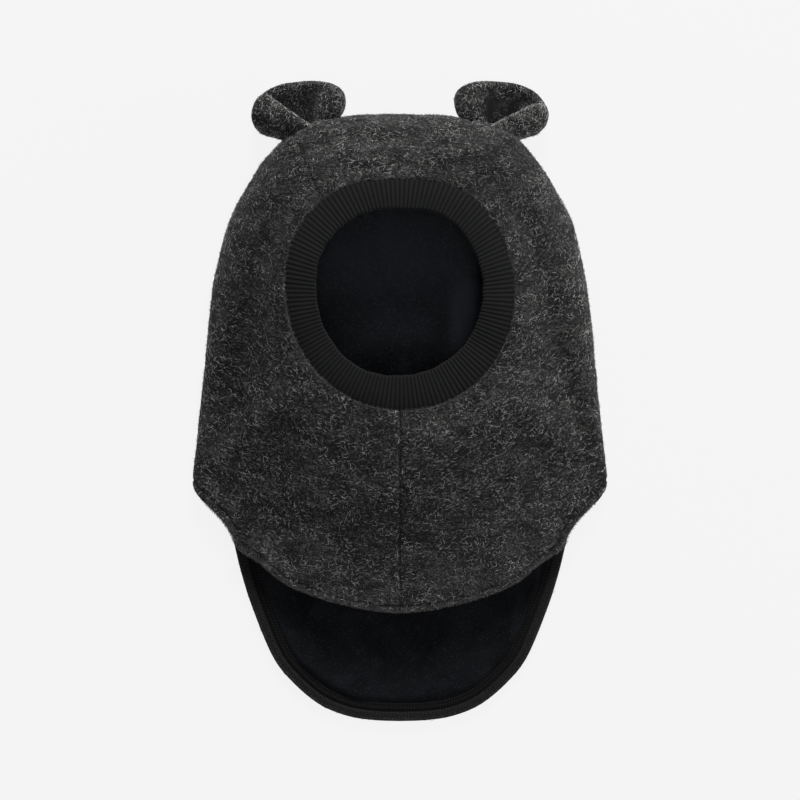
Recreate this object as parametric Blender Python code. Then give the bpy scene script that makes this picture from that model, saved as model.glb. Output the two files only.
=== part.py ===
"""A baby's wool hood with ears, lying on its back as it would on a table.

Metres, +Z up. The origin is the point of the resting surface under the centre
of the face opening: +Y runs to the crown, -Y to the neck, +Z out of the face.
All cloth pieces are cut from one sheet of cells, which starts at the face
opening, runs down over the front, rolls round the crown and the sides and
closes flat under the back. The neck is a slit between the bib and the flap.
"""

import math
from collections import namedtuple

import bmesh
import bpy
import numpy as np
from mathutils import Vector

# Outline of the hood, from the centre of the face opening
HEAD_HALF_WIDTH = 0.110
SHOULDER_HALF_WIDTH = 0.1216
CROWN_RISE = 0.1052
SHOULDER_DROP = 0.112
SHOULDER_HEM_INSET = 0.0228
SHOULDER_HEM_DROP = 0.0292
BIB_DROP = 0.1865
FLAP_DROP = 0.2498

# Height of the face edge above the resting surface, and of the bib's hem
HOOD_DEPTH = 0.054
BIB_HEM_HEIGHT = 0.022

# Face opening
FACE_RADIUS = 0.0488
RIB_WIDTH = 0.0187
RIB_THICKNESS = 0.0028
RIB_SET_BACK = 0.0007
RIB_RELIEF = 0.0004
RIB_DOME = 0.002
RIB_FOLD = 0.4
RIB_COUNT = 146

# Cloths, and the gap that each piece keeps to the next
WOOL = 0.0025
LINING = 0.0012
FACING = 0.0014
FACING_WIDTH = 0.0105
GAP = 0.0003
RIM_TRIM = 0.5 * GAP
NECK_CLEARANCE = 0.001

# Crown panel: half its width at the crown, where its seams meet the face
# edge, and how far it is turned to the left, seen from the front
CROWN_SEAM_REACH = 0.0525
CROWN_SEAM_TURN = 0.0105
CROWN_SEAM_FACE_ANGLE = 40.0
TEMPLE_ANGLE = 60.0
TEMPLE_FACE_ANGLE = 75.0
SHOULDER_FACE_ANGLE = 131.0

# Ears
EAR_WIDTH = 0.0545
EAR_RISE = 0.034
EAR_DEPTH = 0.024
EAR_THICKNESS = 0.004
EAR_ANGLE = 28.9
EAR_ROOT_INSET = 0.0028
EAR_DROP = 0.0026
EAR_ROOT_TUCK = 0.003
EAR_RIM = 0.35

# Cells of the sheet, counted on one half
CROWN_CELLS = 6
TEMPLE_CELLS = 6
SIDE_CELLS = 8
SHOULDER_HEM_CELLS = 3
SLOPE_ROWS = 5
ROLL_ROWS = 3

# Stations counted from the crown, and the rows that the back's flat part needs
TEMPLE = CROWN_CELLS + TEMPLE_CELLS
SHOULDER = TEMPLE + SIDE_CELLS
NECK = SHOULDER + SHOULDER_HEM_CELLS
BIB_CELLS = TEMPLE - SHOULDER_HEM_CELLS
BACK_ROWS = SIDE_CELLS
CHIN = NECK + BIB_CELLS
COLUMNS = 2 * CHIN

# Edge of the crown and side: x as a share of HEAD_HALF_WIDTH, y of CROWN_RISE
EdgePoint = namedtuple("EdgePoint", "x y")
CROWN_EDGE = (
    EdgePoint(0.00, 1.00),
    EdgePoint(0.28, 0.99),
    EdgePoint(0.53, 0.93),
    EdgePoint(0.70, 0.79),
    EdgePoint(0.82, 0.60),
    EdgePoint(0.92, 0.39),
    EdgePoint(0.98, 0.13),
)

# Edge from the face's level to the shoulder: x as a share of the way from
# HEAD_HALF_WIDTH to SHOULDER_HALF_WIDTH, y of SHOULDER_DROP
SIDE_EDGE = (
    EdgePoint(0.02, 0.00),
    EdgePoint(0.33, 0.32),
    EdgePoint(0.62, 0.62),
    EdgePoint(0.90, 0.89),
    EdgePoint(1.00, 1.00),
)

# Hem of the shoulder, where bib and flap lie on each other: shares of
# SHOULDER_HEM_INSET and SHOULDER_HEM_DROP
SHOULDER_HEM = (
    EdgePoint(0.00, 0.00),
    EdgePoint(0.10, 0.16),
    EdgePoint(0.48, 0.46),
    EdgePoint(0.80, 0.74),
    EdgePoint(1.00, 1.00),
)

# Hem of the flap below that: x as a share of the neck's half width, y as a
# share of the way down to FLAP_DROP
FLAP_HEM = (
    EdgePoint(1.00, 0.00),
    EdgePoint(0.95, 0.19),
    EdgePoint(0.88, 0.39),
    EdgePoint(0.76, 0.65),
    EdgePoint(0.64, 0.79),
    EdgePoint(0.48, 0.91),
    EdgePoint(0.31, 0.973),
    EdgePoint(0.15, 0.995),
    EdgePoint(0.00, 1.00),
)
BIB_HEM_POWER = 1.65

# Section of the hood along each station, from the face edge outwards. All are
# shares of HOOD_DEPTH: the height of the face edge, of the top of the roll and
# of the widest line, and the width of the roll above and under that line.
Section = namedtuple("Section", "station face top edge roll under")
SECTIONS = (
    Section(0, 0.97, 0.93, 0.40, 0.56, 0.42),
    Section(6, 0.97, 0.92, 0.40, 0.56, 0.42),
    Section(9, 0.99, 0.90, 0.38, 0.52, 0.38),
    Section(12, 1.00, 0.82, 0.34, 0.46, 0.33),
    Section(15, 0.99, 0.72, 0.29, 0.40, 0.28),
    Section(17, 0.97, 0.56, 0.23, 0.32, 0.23),
    Section(19, 0.95, 0.30, 0.13, 0.20, 0.18),
    Section(20, 0.95, 0.19, 0.095, 0.15, 0.15),
)
NECK_HEM_SHARE = 0.52
SHOULDER_HEM_SHARE = 0.45

# How soon the dents below begin at the face edge, as a share of the slope, the
# most of a column that its roll takes, and the most that a sharp fold of the
# sheet widens its offset. A rim's corner widens its trim no more than twice
DENT_START = 0.12
LONGEST_ROLL = 0.85
SHARPEST_FOLD = 1.4
SHARPEST_CORNER = 0.5

# Rib band: its inner and outer radius every 30 degrees clockwise from the
# crown, as shares of FACE_RADIUS and of FACE_RADIUS + RIB_WIDTH
RIB_INNER = (1.02, 1.07, 1.03, 0.99, 0.98, 0.97, 0.97, 1.00, 0.99, 1.00, 1.06, 1.07)
RIB_OUTER = (1.00, 1.05, 1.01, 0.99, 1.00, 1.01, 1.00, 0.99, 0.98, 0.99, 1.05, 1.05)

# Soft dents and rises of the front, metres along the height: centre and half
# lengths as shares of HEAD_HALF_WIDTH, height as a share of HOOD_DEPTH
Dent = namedtuple("Dent", "x y across along height")
DENTS = (
    Dent(-0.78, 0.62, 0.16, 0.30, -0.035),
    Dent(0.80, 0.50, 0.14, 0.30, -0.020),
    Dent(-0.88, -0.33, 0.20, 0.10, -0.025),
    Dent(-0.90, -0.15, 0.18, 0.10, 0.020),
    Dent(0.72, -0.36, 0.16, 0.10, -0.030),
    Dent(0.45, -0.95, 0.22, 0.12, -0.030),
    Dent(-0.42, -1.10, 0.24, 0.10, 0.030),
    Dent(0.00, -0.80, 0.05, 0.40, -0.010),
)

# Ear, from its outer fold's free edge round the fold to the inner end: root
# and tip of each rib of the shell. out and up are shares of EAR_WIDTH and
# EAR_RISE from the root's middle, near is a share of EAR_DEPTH towards +Z
EarRay = namedtuple("EarRay", "root_out root_up root_near tip_out tip_up tip_near bow")
EAR_RAYS = (
    EarRay(-0.05, 0.04, 0.36, 0.46, 0.52, 0.66, 0.06),
    EarRay(0.02, -0.02, 0.36, 0.55, 0.45, 0.62, 0.08),
    EarRay(0.10, -0.07, 0.30, 0.60, 0.27, 0.50, 0.10),
    EarRay(0.19, -0.13, 0.18, 0.59, 0.08, 0.26, 0.10),
    EarRay(0.25, -0.17, 0.00, 0.54, -0.04, 0.00, 0.00),
    EarRay(0.24, -0.14, -0.16, 0.57, 0.14, -0.28, -0.08),
    EarRay(0.18, -0.08, -0.23, 0.57, 0.38, -0.36, -0.11),
    EarRay(0.10, -0.02, -0.25, 0.48, 0.62, -0.38, -0.12),
    EarRay(0.03, 0.03, -0.25, 0.31, 0.77, -0.36, -0.12),
    EarRay(-0.03, 0.07, -0.22, 0.11, 0.84, -0.30, -0.09),
    EarRay(-0.08, 0.10, -0.13, -0.10, 0.85, -0.12, -0.03),
    EarRay(-0.14, 0.12, -0.04, -0.27, 0.75, 0.16, 0.07),
    EarRay(-0.20, 0.14, -0.02, -0.375, 0.60, 0.22, 0.08),
    EarRay(-0.25, 0.16, 0.00, -0.375, 0.39, 0.18, 0.05),
    EarRay(-0.28, 0.17, 0.00, -0.305, 0.22, 0.08, 0.00),
)
EAR_ALONG = 5
EAR_RAY_STEPS = 2

Finish = namedtuple("Finish", "colour roughness")
WOOL_FINISH = Finish((0.045, 0.046, 0.046, 1.0), 0.95)
LINING_FINISH = Finish((0.010, 0.011, 0.014, 1.0), 0.85)
RIB_FINISH = Finish((0.016, 0.017, 0.018, 1.0), 0.9)
FACING_FINISH = Finish((0.022, 0.023, 0.024, 1.0), 0.9)
SHARP_ANGLE = 50


def clear_scene():
    """Remove what the startup file holds."""
    for thing in list(bpy.data.objects):
        bpy.data.objects.remove(thing)


def material(name, finish):
    """A plain cloth material."""
    made = bpy.data.materials.new(name)
    made.use_nodes = True
    shader = made.node_tree.nodes["Principled BSDF"]
    shader.inputs["Base Color"].default_value = finish.colour
    shader.inputs["Roughness"].default_value = finish.roughness
    shader.inputs["Metallic"].default_value = 0.0
    return made


def smooth_curve(points, wanted):
    """Points of a smooth curve through rows of points, at the wanted places.

    A place counts rows, so 1.5 lies half way between the second and third.
    """
    rows = np.array(points, float)
    last = len(rows) - 1
    found = []
    for place in wanted:
        i = min(int(place), last - 1)
        t = place - i
        before = rows[i - 1] if i else 2 * rows[0] - rows[1]
        after = rows[i + 2] if i + 2 <= last else 2 * rows[last] - rows[last - 1]
        a, b = rows[i], rows[i + 1]
        found.append(
            0.5
            * (
                2 * a
                + (b - before) * t
                + (2 * before - 5 * a + 4 * b - after) * t**2
                + (3 * a - before - 3 * b + after) * t**3
            )
        )
    return np.array(found)


def even_points(points, count, fine=24):
    """count + 1 points, evenly spaced along the smooth curve through points."""
    places = np.linspace(0, len(points) - 1, fine * (len(points) - 1) + 1)
    curve = smooth_curve(points, places)
    steps = np.linalg.norm(np.diff(curve, axis=0), axis=1)
    length = np.concatenate([[0.0], np.cumsum(steps)])
    wanted = np.linspace(0, length[-1], count + 1)
    return np.stack([np.interp(wanted, length, curve[:, k]) for k in (0, 1)], axis=1)


def edge_curve():
    """Right half of the hood's edge in plan, from the crown to the shoulder."""
    widening = SHOULDER_HALF_WIDTH - HEAD_HALF_WIDTH
    crown = [(p.x * HEAD_HALF_WIDTH, p.y * CROWN_RISE) for p in CROWN_EDGE]
    side = [(HEAD_HALF_WIDTH + p.x * widening, -p.y * SHOULDER_DROP) for p in SIDE_EDGE]
    return crown + side


def neck_corner():
    """Where bib and flap part in plan, on the right."""
    return SHOULDER_HALF_WIDTH - SHOULDER_HEM_INSET, -SHOULDER_DROP - SHOULDER_HEM_DROP


def shoulder_hem():
    """Right shoulder's hem in plan, from the shoulder to the neck corner."""
    return [
        (
            SHOULDER_HALF_WIDTH - p.x * SHOULDER_HEM_INSET,
            -SHOULDER_DROP - p.y * SHOULDER_HEM_DROP,
        )
        for p in SHOULDER_HEM
    ]


def bib_hem():
    """Right half of the bib's hem in plan: a quarter of a superellipse."""
    corner_x, corner_y = neck_corner()
    fall = BIB_DROP + corner_y
    points = []
    for step in range(2 * BIB_CELLS + 1):
        turn = 0.5 * math.pi * step / (2 * BIB_CELLS)
        across = math.cos(turn) ** (2 / BIB_HEM_POWER)
        down = math.sin(turn) ** (2 / BIB_HEM_POWER)
        points.append((corner_x * across, corner_y - fall * down))
    return points


def flap_hem():
    """Right half of the flap's hem in plan."""
    corner_x, corner_y = neck_corner()
    fall = FLAP_DROP + corner_y
    return [(corner_x * p.x, corner_y - fall * p.y) for p in FLAP_HEM]


def edge_between(curve, start, end, count):
    """count + 1 points of the edge whose angles run evenly from start to end."""
    angles = np.degrees(np.arctan2(curve[:, 0], curve[:, 1]))
    reach = np.hypot(curve[:, 0], curve[:, 1])
    wanted = np.linspace(start, end, count + 1)
    found = np.interp(wanted, angles, reach)
    turn = np.radians(wanted)
    return np.stack([found * np.sin(turn), found * np.cos(turn)], axis=1)


def fine_edge():
    """The edge from the crown to the shoulder as many close points."""
    rows = edge_curve()
    return smooth_curve(rows, np.linspace(0, len(rows) - 1, 40 * len(rows)))


def seam_angle(curve, side):
    """Angle at which the crown panel's seam crosses the hood's edge."""
    reach = CROWN_SEAM_REACH - side * CROWN_SEAM_TURN
    crown = curve[curve[:, 1] > 0]
    i = int(np.argmin(np.abs(crown[:, 0] - reach)))
    return math.degrees(math.atan2(crown[i, 0], crown[i, 1]))


def plan_of_half(side):
    """Edge points in plan of one half: (front, back), one for each station."""
    fine = fine_edge()
    seam = seam_angle(fine, side)
    shoulder = math.degrees(math.atan2(fine[-1, 0], fine[-1, 1]))
    crown = edge_between(fine, 0, seam, CROWN_CELLS)
    temple = edge_between(fine, seam, TEMPLE_ANGLE, TEMPLE_CELLS)
    flank = edge_between(fine, TEMPLE_ANGLE, shoulder, SIDE_CELLS)
    flank[-1] = fine[-1]
    hem = even_points(shoulder_hem(), SHOULDER_HEM_CELLS)
    shared = [*crown[:-1], *temple[:-1], *flank[:-1], *hem[:-1]]
    front = np.array([*shared, *even_points(bib_hem(), BIB_CELLS)])
    back = np.array([*shared, *even_points(flap_hem(), BIB_CELLS)])
    return front * (side, 1), back * (side, 1)


def face_angles():
    """Angle on the face edge of each station of one half, in degrees."""
    return np.concatenate(
        [
            np.linspace(0, CROWN_SEAM_FACE_ANGLE, CROWN_CELLS + 1)[:-1],
            np.linspace(CROWN_SEAM_FACE_ANGLE, TEMPLE_FACE_ANGLE, TEMPLE_CELLS + 1)[:-1],
            np.linspace(TEMPLE_FACE_ANGLE, SHOULDER_FACE_ANGLE, SIDE_CELLS + 1)[:-1],
            np.linspace(SHOULDER_FACE_ANGLE, 180, CHIN - SHOULDER + 1),
        ]
    )


def ring_radius(shares, radius, angle):
    """Radius of the rib band at an angle clockwise from the crown."""
    wrapped = [*shares[-1:], *shares, *shares[:3]]
    place = (angle % 360) / 30 + 1
    return radius * float(smooth_curve([[s] for s in wrapped], [place])[0, 0])


def face_edge(angle):
    """Point in plan of the wool's edge round the face, where the rib starts."""
    reach = ring_radius(RIB_OUTER, FACE_RADIUS + RIB_WIDTH, angle)
    turn = math.radians(angle)
    return np.array([reach * math.sin(turn), reach * math.cos(turn)])


def section_at(station):
    """The hood's section at a station, in metres."""
    stations = [s.station for s in SECTIONS]
    place = np.interp(min(station, stations[-1]), stations, range(len(stations)))
    shares = smooth_curve([s[1:] for s in SECTIONS], [place])[0]
    return shares * HOOD_DEPTH


def hem_height(station):
    """Height of the bib's outer face along its hem."""
    least = 2 * (WOOL + GAP + FACING) + NECK_CLEARANCE
    neck = max(least, NECK_HEM_SHARE * BIB_HEM_HEIGHT)
    stations = (SHOULDER, SHOULDER + 1, NECK, CHIN)
    heights = (section_at(SHOULDER)[1], max(least, SHOULDER_HEM_SHARE * BIB_HEM_HEIGHT), neck)
    if station <= NECK:
        return float(np.interp(station, stations[:3], heights))
    share = (station - NECK) / (CHIN - NECK)
    return neck + (BIB_HEM_HEIGHT - neck) * math.sin(0.5 * math.pi * share)


def dent_height(x, y):
    """Sum of the soft dents and rises at a point in plan."""
    found = 0.0
    for dent in DENTS:
        across = (x / HEAD_HALF_WIDTH - dent.x) / dent.across
        along = (y / HEAD_HALF_WIDTH - dent.y) / dent.along
        found += dent.height * math.exp(-(across**2) - along**2)
    return found * HOOD_DEPTH


def front_points(station, start, end):
    """Points of one column, from the face edge to the edge or the hem."""
    face, top, edge, roll, _ = section_at(station)
    on_hem = station > SHOULDER
    if on_hem:
        top, edge, roll = hem_height(station), hem_height(station), FACING_WIDTH
    start, end = np.array(start), np.array(end)
    length = np.linalg.norm(end - start)
    roll = min(roll, LONGEST_ROLL * length)
    points = []
    for row in range(SLOPE_ROWS + 1):
        t = row / SLOPE_ROWS
        fall = t * t * (3 - 2 * t)
        plan = start + (end - start) * t * (1 - roll / length)
        height = face + (top - face) * fall
        height += dent_height(*plan) * math.sin(math.pi * min(1, t + DENT_START)) ** 0.5
        points.append((*plan, height))
    for row in range(1, ROLL_ROWS + 1):
        turn = 0.5 * math.pi * row / ROLL_ROWS
        out = row / ROLL_ROWS if on_hem else math.sin(turn)
        drop = 0.0 if on_hem else (top - edge) * (1 - math.cos(turn))
        plan = end - (end - start) / length * roll * (1 - out)
        points.append((*plan, top - drop))
    return points


def back_points(station, edge_point, inwards):
    """Points of one column under the edge, from the edge or hem inwards."""
    _, _, edge, _, under = section_at(station)
    on_hem = station > SHOULDER
    if on_hem:
        edge, under = 0.0, FACING_WIDTH
    points = []
    for row in range(ROLL_ROWS + 1):
        turn = 0.5 * math.pi * row / ROLL_ROWS
        inward = row / ROLL_ROWS if on_hem else 1 - math.cos(turn)
        plan = np.array(edge_point) + inwards * under * inward
        points.append((*plan, edge * (1 - math.sin(turn))))
    return points


class Sheet:
    """The one sheet that every cloth piece is cut from."""

    def __init__(self):
        self.points = []
        self.cells = []
        self.front = []
        self.back = []
        self.place_columns()
        self.add_front_cells()
        self.add_back_cells()
        self.measure_normals()

    def add(self, point):
        self.points.append(point)
        return len(self.points) - 1

    def place_columns(self):
        """Columns run clockwise from the crown: right half, then left half."""
        angles = face_angles()
        halves = {side: plan_of_half(side) for side in (1, -1)}
        for column in range(COLUMNS):
            side = 1 if column <= CHIN else -1
            station = column if side == 1 else COLUMNS - column
            start = face_edge(side * angles[station])
            front, back = halves[side][0][station], halves[side][1][station]
            rows = [self.add(p) for p in front_points(station, start, front)]
            inwards = self.inward(halves[side][1], station, side)
            under = back_points(station, back, inwards)
            self.front.append(rows)
            joined = station <= SHOULDER
            first = rows[-1] if joined else self.add(under[0])
            self.back.append([first] + [self.add(p) for p in under[1:]])

    def inward(self, edge, station, side):
        """Direction in plan that points from the back's edge into the hood."""
        before = edge[max(station - 1, 0)]
        after = edge[min(station + 1, CHIN)]
        if station == 0:
            before = edge[1] * (-1, 1)
        if station == CHIN:
            after = edge[CHIN - 1] * (-1, 1)
        along = (after - before) / np.linalg.norm(after - before)
        return side * np.array([along[1], -along[0]])

    def add_front_cells(self):
        for column in range(COLUMNS):
            here, there = self.front[column], self.front[(column + 1) % COLUMNS]
            for row in range(SLOPE_ROWS + ROLL_ROWS):
                where = ("slope" if row < SLOPE_ROWS else "roll", column)
                corners = (here[row], there[row], there[row + 1], here[row + 1])
                self.cells.append((where, corners))

    def add_back_cells(self):
        for column in range(COLUMNS):
            here, there = self.back[column], self.back[(column + 1) % COLUMNS]
            for row in range(ROLL_ROWS):
                corners = (here[row], there[row], there[row + 1], here[row + 1])
                self.cells.append((("under", column), corners))
        grid = self.back_grid()
        across = 2 * TEMPLE
        for i in range(across):
            for j in range(BACK_ROWS):
                corners = (grid[i][j], grid[i + 1][j], grid[i + 1][j + 1], grid[i][j + 1])
                self.cells.append((("back", i), corners))

    def back_grid(self):
        """Flat middle of the back: a patch between crown, sides and hem."""
        across, down = 2 * TEMPLE, BACK_ROWS
        inner = [rows[-1] for rows in self.back]
        crown = [inner[(i - TEMPLE) % COLUMNS] for i in range(across + 1)]
        right = [inner[TEMPLE + j] for j in range(down + 1)]
        left = [inner[COLUMNS - TEMPLE - j] for j in range(down + 1)]
        hem = [inner[COLUMNS - SHOULDER - i] for i in range(across + 1)]
        place = {k: np.array(self.points[k]) for k in {*crown, *right, *left, *hem}}
        grid = [[None] * (down + 1) for _ in range(across + 1)]
        for i in range(across + 1):
            for j in range(down + 1):
                u, v = i / across, j / down
                if j == 0:
                    grid[i][j] = crown[i]
                elif j == down:
                    grid[i][j] = hem[i]
                elif i == 0:
                    grid[i][j] = left[j]
                elif i == across:
                    grid[i][j] = right[j]
                else:
                    sides = (1 - u) * place[left[j]] + u * place[right[j]]
                    ends = (1 - v) * place[crown[i]] + v * place[hem[i]]
                    corners = (1 - v) * (
                        (1 - u) * place[crown[0]] + u * place[crown[-1]]
                    ) + v * ((1 - u) * place[hem[0]] + u * place[hem[-1]])
                    grid[i][j] = self.add(tuple(sides + ends - corners))
        return grid

    def measure_normals(self):
        """Unit normals, scaled so that an offset keeps the cloth's thickness.

        The rims at the face and at the hems stand upright.
        """
        mesh = bmesh.new()
        verts = [mesh.verts.new(p) for p in self.points]
        for _, corners in self.cells:
            mesh.faces.new([verts[c] for c in corners])
        bmesh.ops.triangulate(mesh, faces=mesh.faces[:])
        mesh.normal_update()
        self.offsets = np.array(
            [v.normal * min(v.calc_shell_factor(), SHARPEST_FOLD) for v in verts]
        )
        mesh.free()
        for rows in self.front:
            self.offsets[rows[0]] = (0, 0, 1)
        for column in range(SHOULDER + 1, COLUMNS - SHOULDER):
            self.offsets[self.front[column][-1]] = (0, 0, 1)
            self.offsets[self.back[column][0]] = (0, 0, -1)

    def at_depth(self, depth):
        """Every point of the sheet, moved this far into the cloth."""
        return np.array(self.points) - self.offsets * depth


def trims(points, faces):
    """How far each rim point moves so that the rim draws back by RIM_TRIM."""
    owner = {}
    for face in faces:
        for a, b in zip(face, (*face[1:], face[0])):
            owner[a, b] = face
    inward = {}
    for (a, b), face in owner.items():
        if (b, a) in owner:
            continue
        p = [Vector(points[k]) for k in face]
        normal = (p[2] - p[0]).cross(p[3] - p[1])
        away = normal.cross(Vector(points[b]) - Vector(points[a])).normalized()
        for k in (a, b):
            inward.setdefault(k, []).append(away)
    moves = {}
    for k, ways in inward.items():
        total = sum(ways, Vector())
        shared = 1 + ways[0].dot(ways[-1]) if len(ways) > 1 else 1
        moves[k] = np.array(total) * (RIM_TRIM / max(shared, SHARPEST_CORNER))
    rim = [edge for edge in owner if (edge[1], edge[0]) not in owner]
    return moves, rim


def cloth(name, sheet, wanted, outside, inside, finish):
    """A closed piece of cloth: the wanted cells between two depths."""
    faces = [corners for where, corners in sheet.cells if wanted(*where)]
    moves, rim = trims(sheet.at_depth(outside), faces)
    mesh = bmesh.new()
    layers = []
    for depth in (outside, inside):
        points = sheet.at_depth(depth)
        used = sorted({k for face in faces for k in face})
        layers.append({k: mesh.verts.new(points[k] + moves.get(k, 0)) for k in used})
    outer, inner = layers
    for a, b, c, d in faces:
        for corner in ((a, b, c), (a, c, d)):
            mesh.faces.new([outer[k] for k in corner])
            mesh.faces.new([inner[k] for k in reversed(corner)])
    for a, b in rim:
        mesh.faces.new((outer[b], outer[a], inner[a], inner[b]))
    return add_object(name, mesh, finish)


def add_object(name, mesh, finish):
    """Turn a bmesh into a named object with its material."""
    data = bpy.data.meshes.new(name)
    mesh.to_mesh(data)
    mesh.free()
    if finish:
        data.materials.append(finish)
    data.shade_smooth()
    data.set_sharp_from_angle(angle=math.radians(SHARP_ANGLE))
    thing = bpy.data.objects.new(name, data)
    bpy.context.scene.collection.objects.link(thing)
    return thing


def in_crown(where, column):
    """The middle panel, from the forehead over the crown and down the back."""
    if where == "back":
        return abs(column + 0.5 - TEMPLE) < CROWN_CELLS
    if where == "under" and abs(column + 0.5 - CHIN) < CROWN_CELLS:
        return True
    return min(column, COLUMNS - 1 - column) < CROWN_CELLS


def in_side(where, column, side):
    """One side panel: the cheek, half the bib and the outer part of the back."""
    if in_crown(where, column):
        return False
    if where == "back":
        return (column >= TEMPLE) == (side == 1)
    return (column < CHIN) == (side == 1)


def in_facing(where, column):
    """The band inside the hem, with one cell round each shoulder's fold."""
    near = SHOULDER - 1 <= column < COLUMNS - SHOULDER + 1
    return near and where in ("roll", "under")


def rib_band(sheet, finish):
    """The knitted band round the face, folded at its inner edge."""
    edge = np.array([sheet.points[rows[0]] for rows in sheet.front])
    angles = np.degrees(np.arctan2(edge[:, 0], edge[:, 1])) % 360
    order = np.argsort(angles)
    angles, edge = angles[order], edge[order]
    angles = np.concatenate([angles - 360, angles, angles + 360])
    edge = np.concatenate([edge, edge, edge])
    mesh = bmesh.new()
    rings = []
    for step in range(2 * RIB_COUNT):
        angle = 360 * step / (2 * RIB_COUNT)
        outer = np.array([np.interp(angle, angles, edge[:, k]) for k in range(3)])
        reach = math.hypot(outer[0], outer[1])
        turn = math.radians(angle)
        ray = np.array([math.sin(turn), math.cos(turn)])
        inner = ring_radius(RIB_INNER, FACE_RADIUS, angle)
        top = outer[2] - RIB_SET_BACK
        relief = RIB_RELIEF * (step % 2)
        fold = RIB_FOLD * RIB_THICKNESS
        seat = reach - GAP + 0.5 * RIM_TRIM
        section = (
            (seat, top - relief),
            (inner + fold, top + RIB_DOME - relief),
            (inner + relief, top + RIB_DOME - 0.5 * RIB_THICKNESS),
            (inner + fold, top + RIB_DOME - RIB_THICKNESS),
            (seat, top - RIB_THICKNESS),
        )
        rings.append([mesh.verts.new((*(ray * r), z)) for r, z in section])
    for here, there in zip(rings, rings[1:] + rings[:1]):
        for k in range(len(here)):
            n = (k + 1) % len(here)
            mesh.faces.new((here[k], there[k], there[n], here[n]))
    bmesh.ops.recalc_face_normals(mesh, faces=mesh.faces[:])
    return add_object("face_rib", mesh, finish)


def ear_middle(side):
    """Middle surface of an ear: rows of points from root to tip."""
    scale = np.array([side * EAR_WIDTH, EAR_RISE, EAR_DEPTH])
    edge = edge_between(fine_edge(), EAR_ANGLE, EAR_ANGLE, 1)[0]
    inset = edge * (1 - EAR_ROOT_INSET / np.linalg.norm(edge))
    height = section_at(CROWN_CELLS)[2] - EAR_DROP
    root_middle = np.array([side * inset[0], inset[1], height])
    steps = EAR_RAY_STEPS * (len(EAR_RAYS) - 1) + 1
    rays = smooth_curve(EAR_RAYS, np.linspace(0, len(EAR_RAYS) - 1, steps))
    rows = []
    for ray in rays:
        root = root_middle + ray[0:3] * scale
        tip = root_middle + ray[3:6] * scale
        root = root - (tip - root) / np.linalg.norm(tip - root) * EAR_ROOT_TUCK
        bow = np.array([0.0, 0.0, ray[6] * EAR_DEPTH])
        places = np.linspace(0, 1, EAR_ALONG + 1)
        rows.append([root + (tip - root) * t + bow * 4 * t * (1 - t) for t in places])
    return np.array(rows)


def ear(name, side, block, finish):
    """One ear: two layers of wool sewn together, folded into a cup."""
    rows = ear_middle(side)
    count, along = rows.shape[:2]
    across = np.gradient(rows, axis=0)
    outwards = np.gradient(rows, axis=1)
    normals = side * np.cross(across, outwards)
    normals /= np.linalg.norm(normals, axis=2, keepdims=True)
    half = 0.5 * EAR_THICKNESS
    mesh = bmesh.new()
    near = [[mesh.verts.new(p) for p in row] for row in rows + normals * half]
    far = [[mesh.verts.new(p) for p in row] for row in rows - normals * half]
    for i in range(count - 1):
        for j in range(along - 1):
            mesh.faces.new((near[i][j], near[i + 1][j], near[i + 1][j + 1], near[i][j + 1]))
            mesh.faces.new((far[i][j], far[i][j + 1], far[i + 1][j + 1], far[i + 1][j]))
    loop = [(i, 0) for i in range(count)] + [(count - 1, j) for j in range(1, along)]
    loop += [(i, along - 1) for i in range(count - 2, -1, -1)]
    loop += [(0, j) for j in range(along - 2, 0, -1)]
    rim = {}
    for i, j in loop:
        out = np.zeros(3)
        out += outwards[i, j] / np.linalg.norm(outwards[i, j]) * (j == along - 1)
        out += across[i, j] / np.linalg.norm(across[i, j]) * ((i == count - 1) - (i == 0))
        rim[i, j] = mesh.verts.new(rows[i, j] + out * EAR_RIM * EAR_THICKNESS)
    for here, there in zip(loop, loop[1:] + loop[:1]):
        for layer in (near, far):
            mesh.faces.new(
                (layer[here[0]][here[1]], layer[there[0]][there[1]], rim[there], rim[here])
            )
    bmesh.ops.recalc_face_normals(mesh, faces=mesh.faces[:])
    made = add_object(name, mesh, finish)
    cut = made.modifiers.new("Seat on the crown", "BOOLEAN")
    cut.operation = "DIFFERENCE"
    cut.solver = "EXACT"
    cut.object = block
    cut.use_self = True
    return made


def crown_block(sheet, clearance):
    """The upper half of the hood as a solid, this much larger than the wool."""
    points = sheet.at_depth(-clearance)
    mesh = bmesh.new()
    loops = []
    for column in range(-TEMPLE, TEMPLE + 1):
        column %= COLUMNS
        rows = [*sheet.front[column], *sheet.back[column][1:]]
        loops.append([mesh.verts.new(points[k]) for k in rows])
    for here, there in zip(loops, loops[1:]):
        for k in range(len(here)):
            n = (k + 1) % len(here)
            mesh.faces.new((here[k], there[k], there[n], here[n]))
    mesh.faces.new(loops[0])
    mesh.faces.new(list(reversed(loops[-1])))
    bmesh.ops.recalc_face_normals(mesh, faces=mesh.faces[:])
    bmesh.ops.triangulate(mesh, faces=mesh.faces[:])
    block = add_object("crown_block", mesh, None)
    block.hide_render = True
    block.display_type = "WIRE"
    return block


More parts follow.
